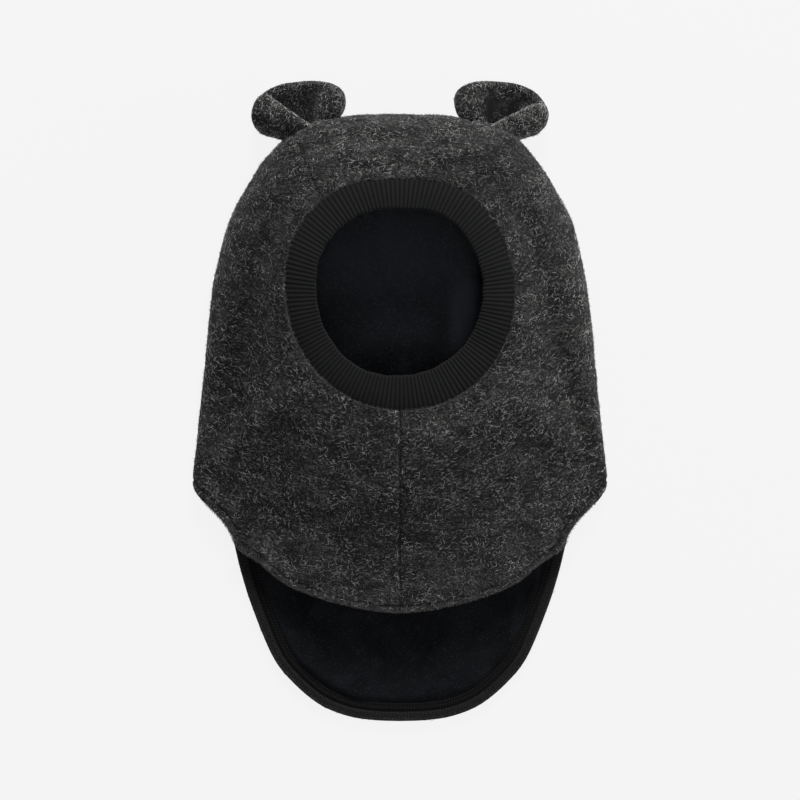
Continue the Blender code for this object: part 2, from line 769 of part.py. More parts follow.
def main():
    clear_scene()
    wool = material("grey wool", WOOL_FINISH)
    lining = material("black lining", LINING_FINISH)
    rib = material("black rib", RIB_FINISH)
    facing = material("hem facing", FACING_FINISH)
    sheet = Sheet()
    inner = WOOL + GAP
    cloth("crown_panel", sheet, in_crown, 0, WOOL, wool)
    for name, side in (("side_panel_left", -1), ("side_panel_right", 1)):
        cloth(name, sheet, lambda w, c, s=side: in_side(w, c, s), 0, WOOL, wool)
    cloth("lining", sheet, lambda w, c: not in_facing(w, c), inner, inner + LINING, lining)
    cloth("hem_facing", sheet, in_facing, inner, inner + FACING, facing)
    rib_band(sheet, rib)
    block = crown_block(sheet, GAP)
    ear("ear_left", -1, block, wool)
    ear("ear_right", 1, block, wool)


main()
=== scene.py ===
"""Looks of a baby's dark wool hood with two folded ears, laid on its back.

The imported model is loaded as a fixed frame. Each of its cloths is replaced by a
finely shaped one in the same place: wool panels with sewn-in seams and loose
fibres, a ribbed band round the face, a velour lining, a stitched hem and two
cupped ears. Metres, +Y to the crown, +Z up out of the face.
"""

from __future__ import annotations

import logging
import math
from dataclasses import dataclass, field
from enum import Enum
from typing import NamedTuple

import bpy
import numpy as np
from bpy.types import Material, Mesh, Node, NodeSocket, Object
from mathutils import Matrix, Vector, noise
from mathutils.bvhtree import BVHTree


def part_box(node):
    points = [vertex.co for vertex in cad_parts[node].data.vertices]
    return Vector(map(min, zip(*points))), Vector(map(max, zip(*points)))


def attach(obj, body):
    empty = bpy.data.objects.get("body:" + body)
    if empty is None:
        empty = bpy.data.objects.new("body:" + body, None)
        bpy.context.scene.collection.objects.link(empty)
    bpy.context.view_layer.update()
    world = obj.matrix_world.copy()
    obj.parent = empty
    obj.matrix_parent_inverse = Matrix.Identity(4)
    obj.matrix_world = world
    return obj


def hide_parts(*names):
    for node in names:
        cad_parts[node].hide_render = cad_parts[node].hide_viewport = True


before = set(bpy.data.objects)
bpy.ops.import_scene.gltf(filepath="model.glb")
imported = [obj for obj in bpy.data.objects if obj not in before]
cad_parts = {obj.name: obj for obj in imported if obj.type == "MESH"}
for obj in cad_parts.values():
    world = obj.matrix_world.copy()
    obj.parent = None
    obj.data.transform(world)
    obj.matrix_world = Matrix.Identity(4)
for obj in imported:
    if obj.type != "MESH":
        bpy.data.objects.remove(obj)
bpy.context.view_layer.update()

LOG = logging.getLogger("hood")
MM = 0.001
BODY = "root"
RIB_COUNT = 146
WOOL_PATCH = 9 * MM


class Side(Enum):
    """A side of the hood, as the picture shows it."""

    LEFT = -1
    RIGHT = 1


class Part(Enum):
    """Part of the sheet that a cell belongs to."""

    SLOPE = 0
    ROLL = 1
    UNDER = 2
    BACK = 3


class Line(Enum):
    """An edge that stitches or loose wool follow."""

    BIB = "bib"
    FLAP = "flap"
    FACE = "face"


class EdgePoint(NamedTuple):
    """Point of an outline, as shares of the sizes that it follows."""

    x: float
    y: float


class Section(NamedTuple):
    """Section of the hood at a station, as shares of its depth."""

    station: float
    face: float
    top: float
    edge: float
    roll: float
    under: float


class Dent(NamedTuple):
    """Soft dent or rise: place and half lengths as shares, then its height."""

    x: float
    y: float
    across: float
    along: float
    height: float


class Crease(NamedTuple):
    """Soft ridge of cloth: place, direction in degrees, half sizes and height."""

    x: float
    y: float
    turn: float
    length: float
    width: float
    height: float


class EarRay(NamedTuple):
    """One rib of an ear's shell, from its root to its tip, as shares."""

    root_out: float
    root_up: float
    root_near: float
    tip_out: float
    tip_up: float
    tip_near: float
    bow: float


CROWN_EDGE = (
    EdgePoint(0.00, 1.00),
    EdgePoint(0.28, 0.99),
    EdgePoint(0.525, 0.93),
    EdgePoint(0.690, 0.79),
    EdgePoint(0.817, 0.60),
    EdgePoint(0.92, 0.39),
    EdgePoint(0.98, 0.13),
)
SIDE_EDGE = (
    EdgePoint(0.02, 0.00),
    EdgePoint(0.33, 0.32),
    EdgePoint(0.62, 0.62),
    EdgePoint(0.90, 0.89),
    EdgePoint(1.00, 1.00),
)
SHOULDER_HEM = (
    EdgePoint(0.00, 0.00),
    EdgePoint(0.10, 0.16),
    EdgePoint(0.48, 0.46),
    EdgePoint(0.80, 0.74),
    EdgePoint(1.00, 1.00),
)
FLAP_HEM = (
    EdgePoint(1.00, 0.00),
    EdgePoint(0.95, 0.19),
    EdgePoint(0.88, 0.39),
    EdgePoint(0.76, 0.65),
    EdgePoint(0.64, 0.79),
    EdgePoint(0.48, 0.91),
    EdgePoint(0.31, 0.973),
    EdgePoint(0.15, 0.995),
    EdgePoint(0.00, 1.00),
)
SECTIONS = (
    Section(0, 0.97, 0.93, 0.40, 0.56, 0.42),
    Section(6, 0.97, 0.92, 0.40, 0.56, 0.42),
    Section(9, 0.99, 0.90, 0.38, 0.52, 0.38),
    Section(12, 1.00, 0.82, 0.34, 0.46, 0.33),
    Section(15, 0.99, 0.72, 0.29, 0.40, 0.28),
    Section(17, 0.97, 0.56, 0.23, 0.32, 0.23),
    Section(19, 0.95, 0.30, 0.13, 0.20, 0.18),
    Section(20, 0.95, 0.19, 0.095, 0.15, 0.15),
)
RIB_INNER = (1.02, 1.07, 1.03, 0.99, 0.98, 0.97, 0.97, 1.00, 0.99, 1.00, 1.06, 1.07)
RIB_OUTER = (1.00, 1.05, 1.01, 0.99, 1.00, 1.01, 1.00, 0.99, 0.98, 0.99, 1.05, 1.05)
DENTS = (
    Dent(-0.78, 0.62, 0.16, 0.30, -0.035),
    Dent(0.80, 0.50, 0.14, 0.30, -0.020),
    Dent(-0.88, -0.33, 0.20, 0.10, -0.025),
    Dent(-0.90, -0.15, 0.18, 0.10, 0.020),
    Dent(0.72, -0.36, 0.16, 0.10, -0.030),
    Dent(0.45, -0.95, 0.22, 0.12, -0.030),
    Dent(-0.42, -1.10, 0.24, 0.10, 0.030),
    Dent(0.00, -0.80, 0.05, 0.40, -0.010),
)
EAR_RAYS = (
    EarRay(-0.05, 0.04, 0.36, 0.46, 0.52, 0.66, 0.06),
    EarRay(0.02, -0.02, 0.36, 0.565, 0.46, 0.62, 0.08),
    EarRay(0.10, -0.07, 0.30, 0.61, 0.28, 0.50, 0.10),
    EarRay(0.19, -0.12, 0.18, 0.59, 0.10, 0.26, 0.10),
    EarRay(0.25, -0.14, 0.00, 0.52, -0.01, 0.00, 0.00),
    EarRay(0.24, -0.14, -0.16, 0.57, 0.14, -0.28, -0.10),
    EarRay(0.18, -0.08, -0.24, 0.585, 0.40, -0.37, -0.16),
    EarRay(0.10, -0.02, -0.28, 0.49, 0.63, -0.39, -0.20),
    EarRay(0.03, 0.03, -0.28, 0.32, 0.775, -0.36, -0.20),
    EarRay(-0.03, 0.07, -0.25, 0.11, 0.83, -0.28, -0.15),
    EarRay(-0.08, 0.10, -0.15, -0.10, 0.84, -0.10, -0.04),
    EarRay(-0.13, 0.12, 0.04, -0.28, 0.77, 0.20, 0.10),
    EarRay(-0.19, 0.14, 0.08, -0.385, 0.61, 0.30, 0.12),
    EarRay(-0.25, 0.16, 0.04, -0.385, 0.40, 0.24, 0.06),
    EarRay(-0.28, 0.17, 0.00, -0.31, 0.22, 0.10, 0.00),
)


def smooth_curve(points: object, wanted: object) -> np.ndarray:
    """Read a smooth curve through rows of points.

    Args:
        points: The rows that the curve passes through.
        wanted: Places to read, counted in rows, so 1.5 is half way to the third.

    Returns:
        One row for each wanted place.
    """
    rows = np.asarray(points, float)
    padded = np.vstack([2 * rows[0] - rows[1], rows, 2 * rows[-1] - rows[-2]])
    places = np.asarray(wanted, float)
    i = np.clip(places.astype(int), 0, len(rows) - 2)
    t = (places - i)[:, None]
    p0, p1, p2, p3 = (padded[i + k] for k in range(4))
    return 0.5 * (
        2 * p1
        + (p2 - p0) * t
        + (2 * p0 - 5 * p1 + 4 * p2 - p3) * t**2
        + (3 * p1 - p0 - 3 * p2 + p3) * t**3
    )


def smooth_step(low: float, high: float, value: np.ndarray) -> np.ndarray:
    """Rise smoothly from 0 at low to 1 at high."""
    t = np.clip((np.asarray(value, float) - low) / (high - low), 0, 1)
    return t * t * (3 - 2 * t)


def cloud(points: np.ndarray, size: float, seed: float) -> np.ndarray:
    """Soft random heights from -1 to 1, with lumps of about this size.

    Args:
        points: Places, a row each.
        size: Size of a lump in metres.
        seed: Moves to another part of the pattern.

    Returns:
        One height for each point.
    """
    shift = Vector((seed, 1.7 * seed, -0.6 * seed))
    return np.array([noise.noise(Vector(p) / size + shift) for p in points])


def even_curve(points: list, fine: int = 60) -> tuple[np.ndarray, np.ndarray]:
    """Close points along a curve, and how far along it each is, from 0 to 1."""
    curve = smooth_curve(points, np.linspace(0, len(points) - 1, fine * len(points)))
    steps = np.linalg.norm(np.diff(curve, axis=0), axis=1)
    length = np.concatenate([[0.0], np.cumsum(steps)])
    return curve, length / length[-1]


@dataclass
class HoodPattern:
    """Sizes of the hood as it lies, read from the frame where it shows them.

    Places along the edge are stations: 0 at the crown, 6 at the crown panel's
    seam, 20 at the shoulder, 23 where bib and flap part and 32 at the chin.
    """

    head_half_width: float = 0.1096
    shoulder_half_width: float = 0.1219
    crown_rise: float = 0.106
    shoulder_drop: float = 0.112
    shoulder_hem_inset: float = 0.0237
    shoulder_hem_drop: float = 0.0292
    bib_drop: float = 0.1855
    flap_drop: float = 0.249
    hood_depth: float = 0.054
    bib_hem_height: float = 0.022
    bib_hem_power: float = 1.65
    bib_corner_lift: float = 3.9 * MM
    bib_corner_at: float = 0.85
    bib_corner_width: float = 0.11
    face_radius: float = 0.0488
    rib_width: float = 0.0187
    wool: float = 2.5 * MM
    lining: float = 1.2 * MM
    facing: float = 1.4 * MM
    facing_width: float = 10.5 * MM
    gap: float = 0.3 * MM
    neck_clearance: float = 1.0 * MM
    seam_reach: float = 0.0525
    seam_turn: float = 0.0105
    seam_station: float = 6.0
    temple_station: float = 12.0
    shoulder_station: float = 20.0
    neck_station: float = 23.0
    chin_station: float = 32.0
    temple_angle: float = 60.0
    face_angles: tuple[float, ...] = (0.0, 40.0, 75.0, 131.0, 180.0)
    neck_hem_share: float = 0.52
    shoulder_hem_share: float = 0.45
    dent_start: float = 0.12
    longest_roll: float = 0.85
    shoulder_rounding: float = 5.5 * MM
    shoulder_sewn_at: float = 4.5 * MM
    bib_sewn_at: float = 3.2 * MM

    def __post_init__(self) -> None:
        """Take the outer sizes from the frame and lay out the curves."""
        crown_low, crown_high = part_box("crown_panel")
        self.crown_rise = crown_high[1]
        self.flap_drop = -crown_low[1]
        widening = self.shoulder_half_width - self.head_half_width
        crown = [(p.x * self.head_half_width, p.y * self.crown_rise) for p in CROWN_EDGE]
        side = [
            (self.head_half_width + p.x * widening, -p.y * self.shoulder_drop)
            for p in SIDE_EDGE
        ]
        self.edge, _ = even_curve(crown + side)
        self.edge_angles = np.degrees(np.arctan2(self.edge[:, 0], self.edge[:, 1]))
        corner_x = self.shoulder_half_width - self.shoulder_hem_inset
        corner_y = -self.shoulder_drop - self.shoulder_hem_drop
        self.shoulder_hem = even_curve(
            [
                (
                    self.shoulder_half_width - p.x * self.shoulder_hem_inset,
                    -self.shoulder_drop - p.y * self.shoulder_hem_drop,
                )
                for p in SHOULDER_HEM
            ]
        )
        turns = np.linspace(0, 0.5 * math.pi, 19)
        power = 2 / self.bib_hem_power
        fall = self.bib_drop + corner_y
        across = np.cos(turns).clip(0) ** power
        lift = np.exp(-(((across - self.bib_corner_at) / self.bib_corner_width) ** 2))
        lift = self.bib_corner_lift * lift * (1 - across**20)
        down = fall * np.sin(turns) ** power - lift
        self.bib_hem = even_curve(list(zip(corner_x * across, corner_y - down)))
        fall = self.flap_drop + corner_y
        self.flap_hem = even_curve(
            [(corner_x * p.x, corner_y - fall * p.y) for p in FLAP_HEM]
        )

    def seam_angle(self, side: Side) -> float:
        """Angle at which the crown panel's seam crosses the edge, in degrees."""
        reach = self.seam_reach - side.value * self.seam_turn
        crown = self.edge[self.edge[:, 1] > 0]
        i = int(np.argmin(np.abs(crown[:, 0] - reach)))
        return math.degrees(math.atan2(crown[i, 0], crown[i, 1]))

    def edge_at(self, stations: np.ndarray, side: Side) -> tuple[np.ndarray, np.ndarray]:
        """Front and back edge in plan at each station, its shoulder rounded.

        Args:
            stations: The stations.
            side: Which side of the hood.

        Returns:
            A row of x and y for each station of the front, and of the back.
        """
        corner = self.shoulder_station
        fine = np.linspace(corner - 1.5, corner + 2.0, 1401)
        dense = self.sharp_edge_at(fine, side)[0]
        steps = np.linalg.norm(np.diff(dense, axis=0), axis=1)
        length = np.concatenate([[0.0], np.cumsum(steps)])
        place = np.interp(stations, fine, length)
        middle = np.interp(corner, fine, length)
        share = 1 - smooth_step(4 * MM, 12 * MM, np.abs(place - middle))
        sharp = self.sharp_edge_at(stations, side)
        reach = self.shoulder_rounding * share
        total = np.zeros_like(sharp[0])
        for offset in np.linspace(-1, 1, 15):
            for k in (0, 1):
                total[:, k] += np.interp(place + offset * reach, length, dense[:, k]) / 15
        here = (reach > 0)[:, None]
        return np.where(here, total, sharp[0]), np.where(here, total, sharp[1])

    def sharp_edge_at(self, stations: np.ndarray, side: Side) -> tuple[np.ndarray, np.ndarray]:
        """Front and back edge in plan at each station of one side."""
        knots = (0, self.seam_station, self.temple_station, self.shoulder_station)
        turns = (0, self.seam_angle(side), self.temple_angle, self.edge_angles[-1])
        wanted = np.interp(stations, knots, turns)
        reach = np.interp(wanted, self.edge_angles, np.hypot(*self.edge.T))
        turn = np.radians(wanted)
        front = np.stack([reach * np.sin(turn), reach * np.cos(turn)], axis=1)
        back = front.copy()
        for first, last, curves in (
            (self.shoulder_station, self.neck_station, (self.shoulder_hem,) * 2),
            (self.neck_station, self.chin_station, (self.bib_hem, self.flap_hem)),
        ):
            here = stations > first
            share = np.clip((stations[here] - first) / (last - first), 0, 1)
            for edge, (curve, length) in zip((front, back), curves):
                for k in (0, 1):
                    edge[here, k] = np.interp(share, length, curve[:, k])
        scale = (side.value, 1)
        return front * scale, back * scale

    def ring_radius(self, shares: tuple[float, ...], radius: float, angles: np.ndarray) -> np.ndarray:
        """Radius of the rib band at angles clockwise from the crown."""
        wrapped = [[s] for s in (*shares[-1:], *shares, *shares[:3])]
        return radius * smooth_curve(wrapped, (angles % 360) / 30 + 1)[:, 0]

    def face_edge(self, stations: np.ndarray, side: Side) -> np.ndarray:
        """Wool's edge round the face in plan at each station of one side."""
        knots = (
            0,
            self.seam_station,
            self.temple_station,
            self.shoulder_station,
            self.chin_station,
        )
        angles = side.value * np.interp(stations, knots, self.face_angles)
        reach = self.ring_radius(RIB_OUTER, self.face_radius + self.rib_width, angles)
        turn = np.radians(angles)
        return np.stack([reach * np.sin(turn), reach * np.cos(turn)], axis=1)

    def sections(self, stations: np.ndarray) -> np.ndarray:
        """Face, top, edge, roll and under of each station, in metres."""
        knots = [s.station for s in SECTIONS]
        places = np.interp(np.minimum(stations, knots[-1]), knots, range(len(knots)))
        return smooth_curve([s[1:] for s in SECTIONS], places) * self.hood_depth

    def hem_height(self, stations: np.ndarray) -> np.ndarray:
        """Height of the bib's outer face along its hem."""
        least = 2 * (self.wool + self.gap + self.facing) + self.neck_clearance
        neck = max(least, self.neck_hem_share * self.bib_hem_height)
        shoulder = max(least, self.shoulder_hem_share * self.bib_hem_height)
        start = self.sections(np.array([self.shoulder_station]))[0, 1]
        knots = (self.shoulder_station, self.shoulder_station + 1, self.neck_station)
        low = np.interp(stations, knots, (start, shoulder, neck))
        length = self.chin_station - self.neck_station
        share = np.clip((stations - self.neck_station) / length, 0, 1)
        return low + (self.bib_hem_height - neck) * np.sin(0.5 * math.pi * share)

    def dent_height(self, plan: np.ndarray) -> np.ndarray:
        """Sum of the soft dents and rises at places in plan."""
        place = plan / self.head_half_width
        found = np.zeros(place.shape[:-1])
        for dent in DENTS:
            across = (place[..., 0] - dent.x) / dent.across
            along = (place[..., 1] - dent.y) / dent.along
            found += dent.height * np.exp(-(across**2) - along**2)
        return found * self.hood_depth


@dataclass
class HoodSheet:
    """The one sheet that every cloth is cut from, as a fine net of cells.

    Attributes:
        pattern: The hood's sizes.
        near_face: Distances of the first rows from the face edge.
        slope_rows: Rows between those and the roll.
        near_hem: Distances of the rows over the hem's facing from the hem.
        station_step: Width of a cell in stations.
        near_seam: Closer stations on each side of a seam.
    """

    pattern: HoodPattern
    near_face: tuple[float, ...] = (0.0, 0.0003, 0.0007, 0.0012, 0.0019, 0.0028)
    slope_rows: int = 26
    near_hem: tuple[float, ...] = (
        0.0105, 0.0099, 0.0092, 0.0085, 0.0078, 0.0071, 0.0065, 0.0060, 0.0055,
        0.0048, 0.0041, 0.0034, 0.0027, 0.0020, 0.0014, 0.0009, 0.0005, 0.0002, 0.0,
    )  # fmt: skip
    station_step: float = 0.25
    near_seam: tuple[float, ...] = (0.03, 0.07, 0.12, 0.18)
    points: np.ndarray = field(init=False)
    normals: np.ndarray = field(init=False)

    def __post_init__(self) -> None:
        """Lay out the columns, then the cells, the ruffles and the normals."""
        self.lay_out_stations()
        self.place_columns()
        self.join_cells()
        self.ruffle()
        self.measure_edges()

    def lay_out_stations(self) -> None:
        """Choose the stations, closer beside the seams, and number the columns."""
        p = self.pattern
        seam, temple = p.seam_station, p.temple_station
        crown = list(np.arange(0, temple + 0.01, self.station_step))
        crown += [seam + k * d for d in self.near_seam for k in (-1, 1)]
        crown += list(self.near_seam)
        crown += [temple - d for d in (0.04, 0.08, 0.13, 0.19, 0.32, 0.4)]
        crown = np.unique(np.round(crown, 4))
        flank = np.arange(temple, p.shoulder_station + 0.01, self.station_step)
        near_shoulder = p.shoulder_station - np.array((0.03, 0.06, 0.1, 0.15, 0.2))
        flank = np.unique(np.concatenate([flank, near_shoulder]))
        hem = (p.chin_station - crown)[::-1]
        stations = np.concatenate([crown[:-1], flank[:-1], hem])
        self.temple = len(crown) - 1
        self.shoulder = self.temple + len(flank) - 1
        self.chin = len(stations) - 1
        self.count = 2 * self.chin
        self.stations = np.concatenate([stations, stations[1:-1][::-1]])
        self.sides = np.array([1] * (self.chin + 1) + [-1] * (self.chin - 1))

    def place_columns(self) -> None:
        """Work out every point of the front and of the rows under the edge."""
        p = self.pattern
        face = np.zeros((self.count, 2))
        front, back = face.copy(), face.copy()
        for side in Side:
            here = self.sides == side.value
            face[here] = p.face_edge(self.stations[here], side)
            front[here], back[here] = p.edge_at(self.stations[here], side)
        section = p.sections(self.stations)
        hem = p.hem_height(self.stations)
        start = p.shoulder_station
        self.on_hem = smooth_step(start, start + 1, self.stations)
        self.front_points = self.front_rows(face, front, section, hem)
        self.back_points = self.back_rows(back, section)

    def front_rows(
        self, face: np.ndarray, edge: np.ndarray, section: np.ndarray, hem: np.ndarray
    ) -> np.ndarray:
        """Rows of the front, from the face edge to the edge or the hem."""
        p, b = self.pattern, self.on_hem
        length = np.linalg.norm(edge - face, axis=1)
        way = (edge - face) / length[:, None]
        top = section[:, 1] * (1 - b) + hem * b
        widest = section[:, 2] * (1 - b) + hem * b
        roll = section[:, 3] * (1 - b) + p.facing_width * b
        roll = np.minimum(roll, p.longest_roll * length)
        slope = length - roll
        near = np.array(self.near_face)[None, :] * np.minimum(1, slope / 0.01)[:, None]
        rest = np.linspace(0, 1, self.slope_rows + 1)[None, 1:]
        rest = near[:, -1:] + (slope[:, None] - near[:, -1:]) * rest
        t = np.concatenate([near, rest], axis=1) / slope[:, None]
        plan = face[:, None] + way[:, None] * (t * slope[:, None])[..., None]
        height = section[:, :1] + (top - section[:, 0])[:, None] * t * t * (3 - 2 * t)
        lift = np.sin(math.pi * np.minimum(1, t + p.dent_start)) ** 0.5
        height = height + p.dent_height(plan) * np.nan_to_num(lift)
        slope_part = np.dstack([plan, height])
        self.slope_count = slope_part.shape[1] - 1
        u = 1 - np.array(self.near_hem)[None, 1:] / self.near_hem[0]
        turn = 0.5 * math.pi * u
        out = np.sin(turn) * (1 - b)[:, None] + u * b[:, None]
        plan = edge[:, None] - (way * roll[:, None])[:, None] * (1 - out)[..., None]
        height = top[:, None] - (top - widest)[:, None] * (1 - np.cos(turn))
        return np.concatenate([slope_part, np.dstack([plan, height])], axis=1)

    def back_rows(self, edge: np.ndarray, section: np.ndarray) -> np.ndarray:
        """Rows under the edge, from the edge or the flap's hem inwards."""
        p, b = self.pattern, self.on_hem
        along = np.roll(edge, -1, axis=0) - np.roll(edge, 1, axis=0)
        along /= np.linalg.norm(along, axis=1)[:, None]
        inwards = np.stack([along[:, 1], -along[:, 0]], axis=1)
        from_middle = np.minimum(self.stations, p.chin_station - self.stations)
        inwards[:, 0] *= smooth_step(0, 1.2, from_middle)
        widest = section[:, 2] * (1 - b)
        under = section[:, 4] * (1 - b) + p.facing_width * b
        u = 1 - np.array(self.near_hem)[::-1] / self.near_hem[0]
        u = (1 - u)[None, :]
        turn = 0.5 * math.pi * u
        inward = (1 - np.cos(turn)) * (1 - b)[:, None] + u * b[:, None]
        plan = edge[:, None] + (inwards * under[:, None])[:, None] * inward[..., None]
        height = widest[:, None] * (1 - np.sin(turn))
        return np.dstack([plan, height])

    def join_cells(self) -> None:
        """Number the points and make the cells of all four parts."""
        rows = self.front_points.shape[1]
        under = self.back_points.shape[1]
        points = [self.front_points.reshape(-1, 3)]
        self.front = np.arange(self.count * rows).reshape(self.count, rows)
        self.back = np.zeros((self.count, under), int)
        joined = self.stations <= self.pattern.shoulder_station
        used = self.count * rows
        for column in range(self.count):
            first = 1 if joined[column] else 0
            self.back[column, 0] = self.front[column, -1]
            numbers = np.arange(used, used + under - first)
            self.back[column, first:] = numbers
            points.append(self.back_points[column, first:])
            used += under - first
        crown = [self.back[(i - self.temple) % self.count, -1] for i in range(2 * self.temple + 1)]
        down = self.shoulder - self.temple
        right = [self.back[self.temple + j, -1] for j in range(down + 1)]
        left = [self.back[self.count - self.temple - j, -1] for j in range(down + 1)]
        hem = [self.back[self.count - self.shoulder - i, -1] for i in range(2 * self.temple + 1)]
        grid = np.full((2 * self.temple + 1, down + 1), -1)
        grid[:, 0], grid[:, -1], grid[0], grid[-1] = crown, hem, left, right
        known = np.concatenate(points)
        middle = self.fill_middle(known[grid])
        inside = grid[1:-1, 1:-1]
        grid[1:-1, 1:-1] = np.arange(used, used + inside.size).reshape(inside.shape)
        self.points = np.concatenate([known, middle.reshape(-1, 3)])
        self.grid = grid
        self.number_cells()

    @staticmethod
    def fill_middle(rim: np.ndarray) -> np.ndarray:
        """Inner points of a patch whose four sides are given."""
        across, down = rim.shape[0] - 1, rim.shape[1] - 1
        u = (np.arange(1, across) / across)[:, None, None]
        v = (np.arange(1, down) / down)[None, :, None]
        sides = (1 - u) * rim[0, 1:-1][None] + u * rim[-1, 1:-1][None]
        ends = (1 - v) * rim[1:-1, 0][:, None] + v * rim[1:-1, -1][:, None]
        corners = (1 - v) * ((1 - u) * rim[0, 0] + u * rim[-1, 0])
        corners = corners + v * ((1 - u) * rim[0, -1] + u * rim[-1, -1])
        return sides + ends - corners

    def number_cells(self) -> None:
        """List the cells with the part and the column that each is in."""
        cells, parts, columns = [], [], []

        def strip(table: np.ndarray, part: np.ndarray, wrap: bool) -> None:
            there = np.roll(table, -1, axis=0) if wrap else table[1:]
            here = table if wrap else table[:-1]
            quads = np.stack([here[:, :-1], there[:, :-1], there[:, 1:], here[:, 1:]], axis=-1)
            cells.append(quads.reshape(-1, 4))
            parts.append(np.tile(part, quads.shape[0]))
            columns.append(np.repeat(np.arange(quads.shape[0]), quads.shape[1]))

        rows = self.front.shape[1] - 1
        front_parts = np.where(np.arange(rows) < self.slope_count, 0, 1)
        strip(self.front, front_parts, True)
        strip(self.back, np.full(self.back.shape[1] - 1, 2), True)
        strip(self.grid, np.full(self.grid.shape[1] - 1, 3), False)
        self.cells = np.concatenate(cells)
        self.parts = np.concatenate(parts)
        self.columns = np.concatenate(columns)

    def measure_normals(self) -> None:
        """Unit normals of the net, upright at the face edge and the hems."""
        p = self.points[self.cells]
        face = np.cross(p[:, 2] - p[:, 0], p[:, 3] - p[:, 1])
        total = np.zeros_like(self.points)
        for k in range(4):
            np.add.at(total, self.cells[:, k], face)
        total /= np.maximum(np.linalg.norm(total, axis=1), 1e-12)[:, None]
        for row, weight in enumerate((1.0, 0.8, 0.5, 0.2)):
            here = self.front[:, row]
            total[here] = total[here] * (1 - weight) + np.array([0, 0, weight])
        for table, last, up in ((self.front, -1, 1.0), (self.back, 0, -1.0)):
            here = table[self.on_hem > 0, last]
            weight = self.on_hem[self.on_hem > 0][:, None]
            total[here] = total[here] * (1 - weight) + np.array([0, 0, up]) * weight
        self.normals = total / np.linalg.norm(total, axis=1)[:, None]

    def ruffle(self) -> None:
        """Give the flat-drawn cloth its small waves, least where it rests."""
        self.measure_normals()
        lying = 1 - smooth_step(0.002, 0.012, self.points[:, 2])
        waves = 0.8 * MM * cloud(self.points, 0.045, 3.1)
        waves += 0.35 * MM * cloud(self.points, 0.018, 8.4)
        free = 1 - 0.85 * lying
        self.points = self.points + self.normals * (waves * free)[:, None]
        seam = np.exp(-((self.points[:, 0] / 0.012) ** 2)) * (self.points[:, 1] < -0.06)
        drift = cloud(self.points * (0, 1, 0), 0.016, 5.0) * 0.7 * MM
        self.points[:, 0] += drift * seam * (self.points[:, 2] > 0.012)
        self.points[:, 2] = np.maximum(self.points[:, 2], 0)
        self.measure_normals()

    def distance_to(self, numbers: np.ndarray) -> np.ndarray:
        """Distance of every point from a line of points, given by number."""
        line = self.points[numbers]
        best = np.full(len(self.points), np.inf)
        for start in range(0, len(line), 64):
            away = self.points[:, None] - line[None, start : start + 64]
            best = np.minimum(best, np.linalg.norm(away, axis=2).min(axis=1))
        return best

    def seam_columns(self) -> list[int]:
        """Columns that the crown panel's two seams run down."""
        p = self.pattern
        crown = int(np.argmin(np.abs(self.stations[: self.chin] - p.seam_station)))
        return [crown, self.count - crown]

    def measure_edges(self) -> None:
        """Distances from the seams, the face edge and the two hems."""
        p = self.pattern
        seams = []
        for column in self.seam_columns():
            seams += [*self.front[column], *self.back[column]]
        crown = self.seam_columns()[0]
        for i in (self.temple - crown, self.temple + crown):
            seams += [*self.grid[i]]
        hem_station = p.chin_station - p.seam_station
        hem = int(np.argmin(np.abs(self.stations[: self.chin] - hem_station)))
        for column in (hem, self.count - hem):
            seams += [*self.back[column]]
        chin = self.front[self.chin]
        self.from_seam = self.distance_to(np.array([*seams, *chin]))
        self.from_face = self.distance_to(self.front[:, 0])
        hemmed = self.stations > p.shoulder_station
        self.from_bib_hem = self.distance_to(self.front[hemmed, -1])
        self.from_flap_hem = self.distance_to(self.back[hemmed, 0])

    def sewn_line(self) -> np.ndarray:
        """How near each point is to the bib's sewn line, 1 on it."""
        p = self.pattern
        low = smooth_step(p.shoulder_drop + 0.025, p.shoulder_drop + 0.045, -self.points[:, 1])
        away = self.from_bib_hem - (p.shoulder_sewn_at * (1 - low) + p.bib_sewn_at * low)
        return np.exp(-((away / (0.7 * MM)) ** 2))

    def in_crown(self) -> np.ndarray:
        """Cells of the middle panel, from the forehead down to the flap."""
        crown = self.seam_columns()[0]
        nearest = np.minimum(self.columns, self.count - 1 - self.columns)
        front = nearest < crown
        hem = np.abs(self.columns + 0.5 - self.chin) < crown
        middle = np.abs(self.columns + 0.5 - self.temple) < crown
        is_back = self.parts == Part.BACK.value
        is_under = self.parts == Part.UNDER.value
        return np.where(is_back, middle, front | (is_under & hem))

    def in_side(self, side: Side) -> np.ndarray:
        """Cells of one side panel: cheek, half the bib, outer part of the back."""
        right = np.where(
            self.parts == Part.BACK.value,
            self.columns >= self.temple,
            self.columns < self.chin,
        )
        return (right == (side is Side.RIGHT)) & ~self.in_crown()

    def in_facing(self) -> np.ndarray:
        """Cells of the band inside the hem."""
        step = round(1 / self.station_step)
        near = (self.columns >= self.shoulder - step) & (
            self.columns < self.count - self.shoulder + step
        )
        return near & np.isin(self.parts, (Part.ROLL.value, Part.UNDER.value))


def add_object(name: str, data: object) -> Object:
    """Put a new object into the scene.

    Args:
        name: Name of the object.
        data: Its mesh, camera or lamp.

    Returns:
        The object.
    """
    made = bpy.data.objects.new(name, data)
    bpy.context.scene.collection.objects.link(made)
    return made


def store(data: Mesh, name: str, values: np.ndarray, domain: str = "POINT") -> None:
    """Store numbers or, for rows of three, vectors on a mesh.

    Args:
        data: The mesh.
        name: Name that the values are stored under.
        values: A value for each point or face.
        domain: POINT or FACE.
    """
    kind, key = ("FLOAT_VECTOR", "vector") if values.ndim == 2 else ("FLOAT", "value")
    data.attributes.new(name, kind, domain).data.foreach_set(key, values.ravel())


